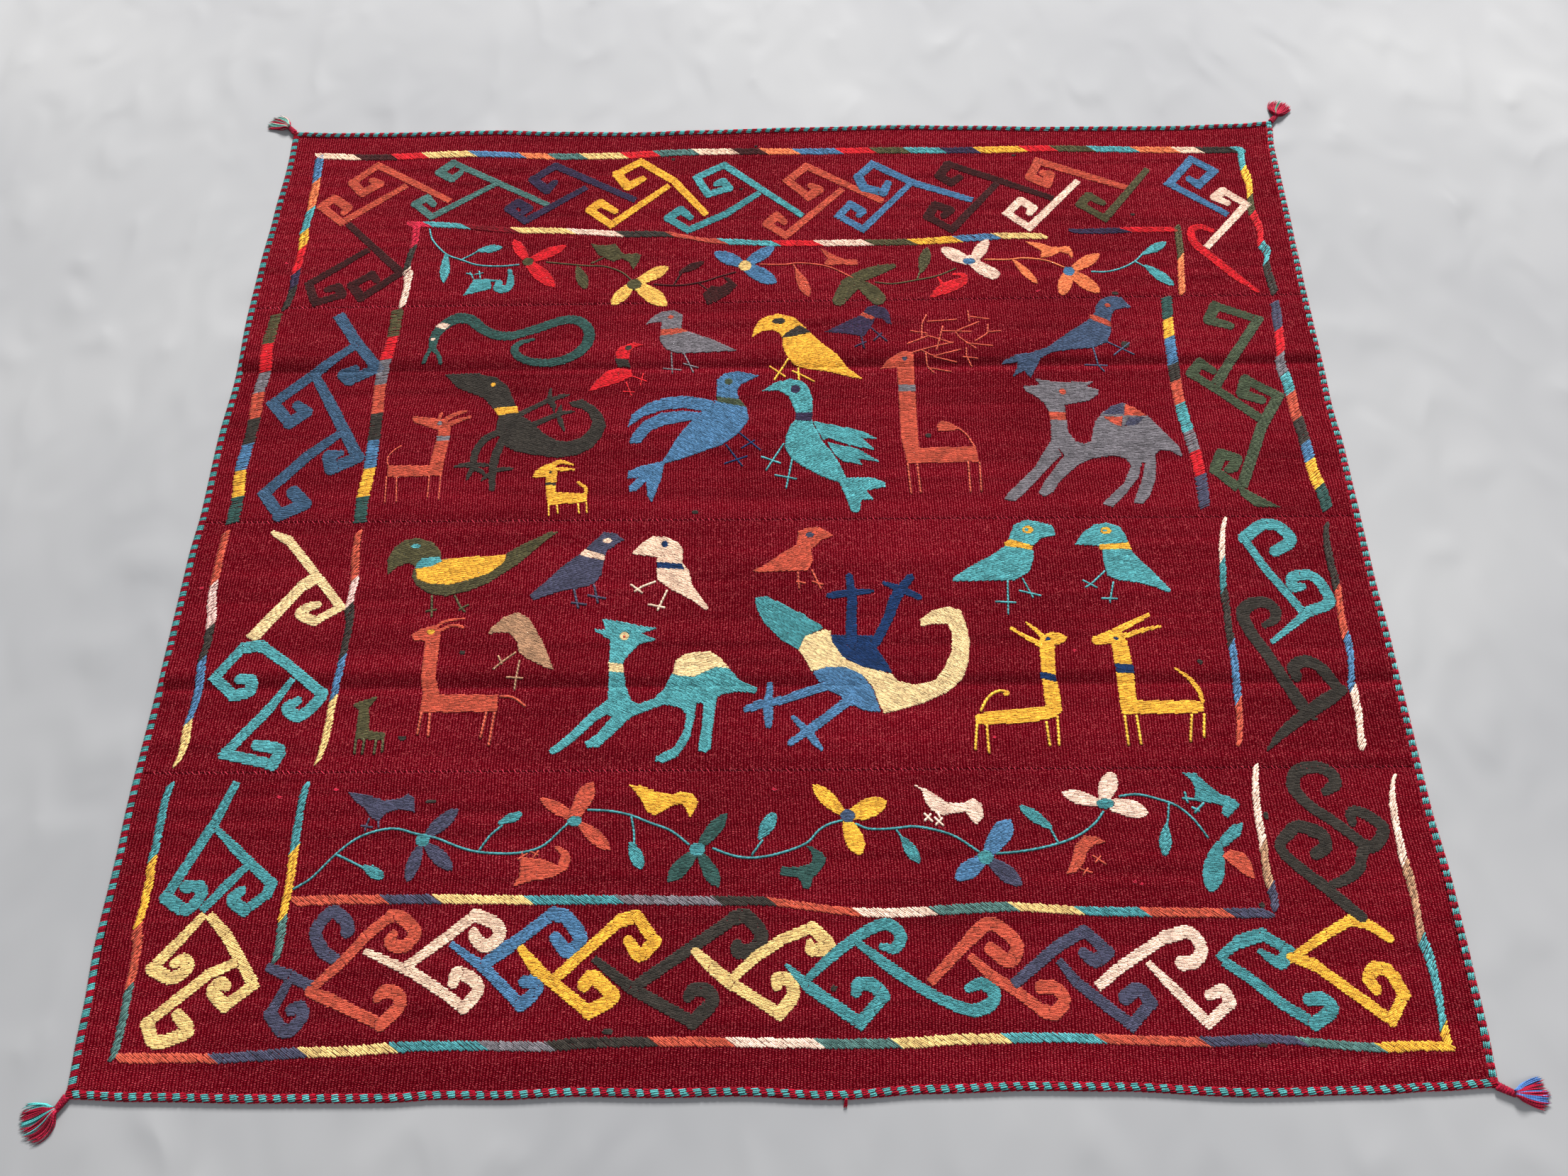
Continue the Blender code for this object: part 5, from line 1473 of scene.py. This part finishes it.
work.arm("dark", 17, -190,-692, -58,-603, -42,-601, -22,-624, -30,-643, -51,-646, -54,-638, ends=(0.9,
    0.8))
work.arm("straw", 15, -109,-646, -83,-669, -58,-688, 2,-724, 20,-701, 14,-683, 0,-681, -1,-690, ends=(0.7,
    0.8))
work.arm("straw", 15, -61,-682, -29,-653, 6,-631, 46,-616, 68,-639, 46,-645, 42,-637, ends=(0.8, 0.7))
work.arm("teal", 16, 10,-662, 40,-691, 106,-736, 137,-703, 125,-690, 106,-688, 102,-697, ends=(0.3, 0.8))
work.fill("teal", 12, stroke([40,-680, 71,-653, 103,-630, 128,-616, 149,-613, 163,-628, 154,-643,
    137,-641], [10, 14, 14, 15, 16, 16, 14, 8]))
work.fill("teal", -15, stroke([106,-636, 144,-665, 183,-691, 218,-710, 250,-721, 274,-714, 281,-699,
    266,-688, 247,-694], [10, 14, 14, 14, 16, 17, 17, 16, 10]))
work.arm("coral", 16, 198,-687, 256,-630, 275,-614, 291,-615, 315,-638, 304,-660, 281,-645, ends=(0.8,
    1.0))
work.arm("coral", 15, 252,-653, 279,-678, 310,-698, 342,-722, 358,-724, 371,-708, 360,-694, 342,-693,
    ends=(0.7, 1.0))
work.arm("denim", 16, 306,-690, 371,-640, 406,-622, 434,-649, 416,-660, 402,-650, ends=(0.9, 0.8))
work.arm("denim", 15, 368,-659, 390,-688, 454,-740, 482,-713, 468,-696, 450,-706, ends=(0.7, 1.1))
work.arm("white", 15, 415,-693, 447,-669, 511,-631, 544,-625, 557,-645, 547,-661, 529,-664, ends=(0.9,
    1.1))
work.arm("white", 14, 484,-662, 510,-691, 552,-738, 584,-713, 577,-698, 558,-704, ends=(0.6, 0.8))
work.arm("teal", 15, 577,-658, 608,-637, 640,-628, 671,-649, 657,-664, 634,-650, ends=(0.7, 0.5))
work.arm("teal", 15, 583,-661, 617,-685, 649,-714, 687,-739, 713,-722, 703,-709, 685,-710, ends=(0.9, 0.9))
work.arm("yellow", 13, 805,-633, 780,-615, 758,-611, 726,-627, 670,-660, ends=(0.9, 0.8))
work.arm("yellow", 15, 672,-657, 700,-666, 786,-736, 809,-704, 797,-677, 780,-671, 768,-684, 774,-697,
    ends=(0.7, 0.9))
# dark scrolls at the right end
work.fill("dark", 4, stroke([761,-436, 777,-424, 772,-408, 751,-400, 726,-408, 718,-430, 735,-455,
    764,-478, 786,-498, 800,-512], [12, 17, 17, 17, 18, 18, 16, 15, 15, 16]), stroke([789,-479, 789,-468,
    800,-464, 818,-474, 830,-489, 815,-510, 800,-514], [12, 14, 15, 16, 16, 16, 15]), stroke([802,-510,
    792,-526, 786,-541, 768,-555, 745,-564], [16, 15, 15, 14, 11]))
work.fill("dark", -16, stroke([731,-522, 746,-512, 744,-496, 728,-488, 713,-484, 700,-493, 684,-512,
    700,-535, 732,-564, 757,-589, 775,-606], [16, 18, 18, 18, 16, 16, 14, 15, 16, 16, 15]))
# vine, buds, flowers and birds
work.thread("teal", 2.6, [-657,-562, -634,-547, -607,-516, -580,-493, -551,-482, -526,-480, -500,-487,
    -471,-493, -440,-505, -415,-512, -383,-515, -351,-514, -322,-505, -300,-484, -287,-471], [-605,-515,
    -583,-525, -562,-535], [-410,-512, -396,-490, -380,-476], [-265,-455, -233,-457, -204,-463, -176,-474,
    -147,-485, -121,-505], [-203,-464, -198,-487, -197,-505], [-90,-509, -64,-519, -38,-523, -10,-520,
    22,-511, 43,-501, 55,-487, 71,-477, 90,-472], [-36,-520, -20,-498], [106,-476, 125,-484, 157,-484,
    186,-481, 212,-485, 243,-495, 275,-517], [163,-485, 173,-501], [297,-519, 326,-517, 358,-512, 390,-504,
    416,-493, 438,-477, 451,-461], [384,-506, 374,-484], [473,-441, 499,-438, 528,-445, 553,-455, 573,-474,
    589,-500], [542,-450, 538,-471, 533,-488])
work.leaf("teal", 15, (-565,-531), (-536,-547))
work.leaf("teal", 14, (-386,-473), (-355,-460))
work.leaf("teal", 18, (-202,-502), (-185,-536))
work.leaf("teal", 19, (-25,-496), (-4,-462))
work.leaf("teal", 16, (170,-496), (193,-531))
work.leaf("teal", 16, (376,-484), (336,-454))
work.leaf("teal", 17, (534,-482), (526,-523))
work.fill("denim", -10, patch(-604,-426, -577,-431, -551,-440, -529,-438, -517,-431, -507,-438, -505,-457,
    -529,-452, -544,-458, -554,-470, -567,-462, -574,-452, -590,-441))
work.thread("denim", 2.2, [-567,-464, -571,-484], [-578,-475, -560,-478], [-554,-469, -552,-479],
    bend=False)
work.leaf("denim", 21, (-488,-494), (-446,-454), slant=22)
work.leaf("denim", 19, (-490,-500), (-503,-552), slant=20)
work.leaf("denim", 20, (-486,-500), (-444,-536))
work.fill("teal", 0, disc(-489, -496, 20, 18))
work.leaf("coral", 17, (-276,-470), (-331,-439))
work.leaf("coral", 25, (-286,-472), (-260,-417), slant=16, fat=0.65)
work.leaf("coral", 19, (-276,-472), (-231,-510))
work.fill("teal", 0, disc(-281, -471, 20, 14))
work.fill("coral", 4, patch(-351,-520, -318,-524, -300,-532, -296,-518, -308,-505, -297,-507, -286,-514,
    -282,-525, -287,-538, -306,-548, -332,-552, -359,-560, -351,-546))
work.thread("coral", 2.2, [-356,-524, -342,-515], [-350,-512, -349,-524], [-335,-522, -327,-511],
    [-340,-512, -327,-518], bend=False)
work.fill("yellow", -10, patch(-208,-420, -192,-421, -170,-430, -147,-434, -134,-430, -118,-434, -111,-445,
    -115,-457, -122,-467, -127,-455, -133,-447, -147,-450, -160,-458, -170,-463, -182,-458, -189,-444,
    -198,-431))
work.leaf("pine", 20, (-110,-510), (-71,-463), slant=14)
work.leaf("pine", 22, (-110,-512), (-148,-553), slant=12, fat=0.62)
work.leaf("pine", 20, (-108,-514), (-80,-561), slant=-12, fat=0.65)
work.fill("teal", 0, disc(-110, -511, 22, 18))
work.fill("pine", -8, patch(4,-536, 4,-546, 28,-550, 35,-564, 43,-565, 48,-550, 60,-538, 67,-524, 60,-516,
    46,-508, 40,-508, 48,-520, 46,-531, 28,-536))
work.leaf("yellow", 21, (94,-466), (50,-422))
work.leaf("yellow", 27, (94,-468), (150,-446), fat=0.6)
work.leaf("yellow", 26, (94,-470), (113,-518), slant=2, fat=0.6)
work.fill("slate", 0, disc(97, -466, 20, 18))
work.fill("white", -14, patch(189,-422, 211,-431, 237,-449, 259,-449, 272,-442, 283,-451, 284,-468,
    274,-480, 265,-470, 260,-461, 237,-464, 228,-466, 214,-460, 204,-446, 202,-431))
work.thread("white", 2.6, [202,-462, 214,-475], [213,-463, 202,-474], [216,-468, 229,-481], [228,-469,
    217,-480], [222,-462, 224,-470], bend=False)
work.leaf("blue", 28, (282,-524), (321,-474), slant=18, fat=0.66)
work.leaf("blue", 24, (284,-524), (241,-553), slant=12, fat=0.6)
work.leaf("denim", 23, (284,-525), (328,-561), fat=0.6)
work.fill("teal", 0, disc(283, -524, 21, 19))
work.leaf("white", 19, (450,-451), (397,-436), slant=-4, fat=0.62)
work.leaf("white", 25, (450,-450), (469,-408), slant=4, fat=0.6)
work.leaf("white", 25, (452,-450), (511,-464), slant=-6, fat=0.62)
work.fill("teal", 0, disc(454, -451, 25, 14))
work.fill("coral", 14, patch(449,-504, 435,-496, 419,-496, 406,-509, 400,-528, 389,-549, 403,-545,
    416,-532, 422,-516, 431,-509))
work.thread("coral", 2.0, [428,-522, 446,-535], [430,-533, 440,-523], [409,-540, 426,-546], [412,-549,
    421,-539], bend=False)
work.fill("teal", -18, patch(567,-408, 585,-409, 598,-423, 611,-436, 633,-446, 640,-454, 630,-463,
    620,-472, 612,-465, 617,-455, 608,-452, 592,-450, 579,-446, 581,-427, 576,-417))
work.thread("teal", 2.8, [582,-446, 561,-444], [566,-434, 568,-451], [591,-450, 575,-465], [572,-456,
    583,-463], bend=False)
work.leaf("teal", 16, (596,-516), (639,-480), fat=0.7)
work.leaf("teal", 29, (602,-507), (580,-571), slant=-3, fat=0.6)
work.fill("coral", -16, patch(603,-524, 615,-516, 634,-520, 642,-536, 643,-554, 632,-552, 614,-535))
work.fill("dark", 0, disc(-484, -442, 16, 4), disc(673, -469, 8, 9), disc(646, -590, 9, 6), disc(73, -693,
    9, 7), disc(-219, -745, 14, 6), disc(617, -764, 14, 5))
work.fill("rose", -20, disc(-698, -434, 7, 4), disc(-620, -424, 7, 4), disc(481, -559, 6, 4), disc(490,
    -562, 5, 4), disc(-5, -428, 7, 5))
sew("embroidery_4", work, embroidery_finish)
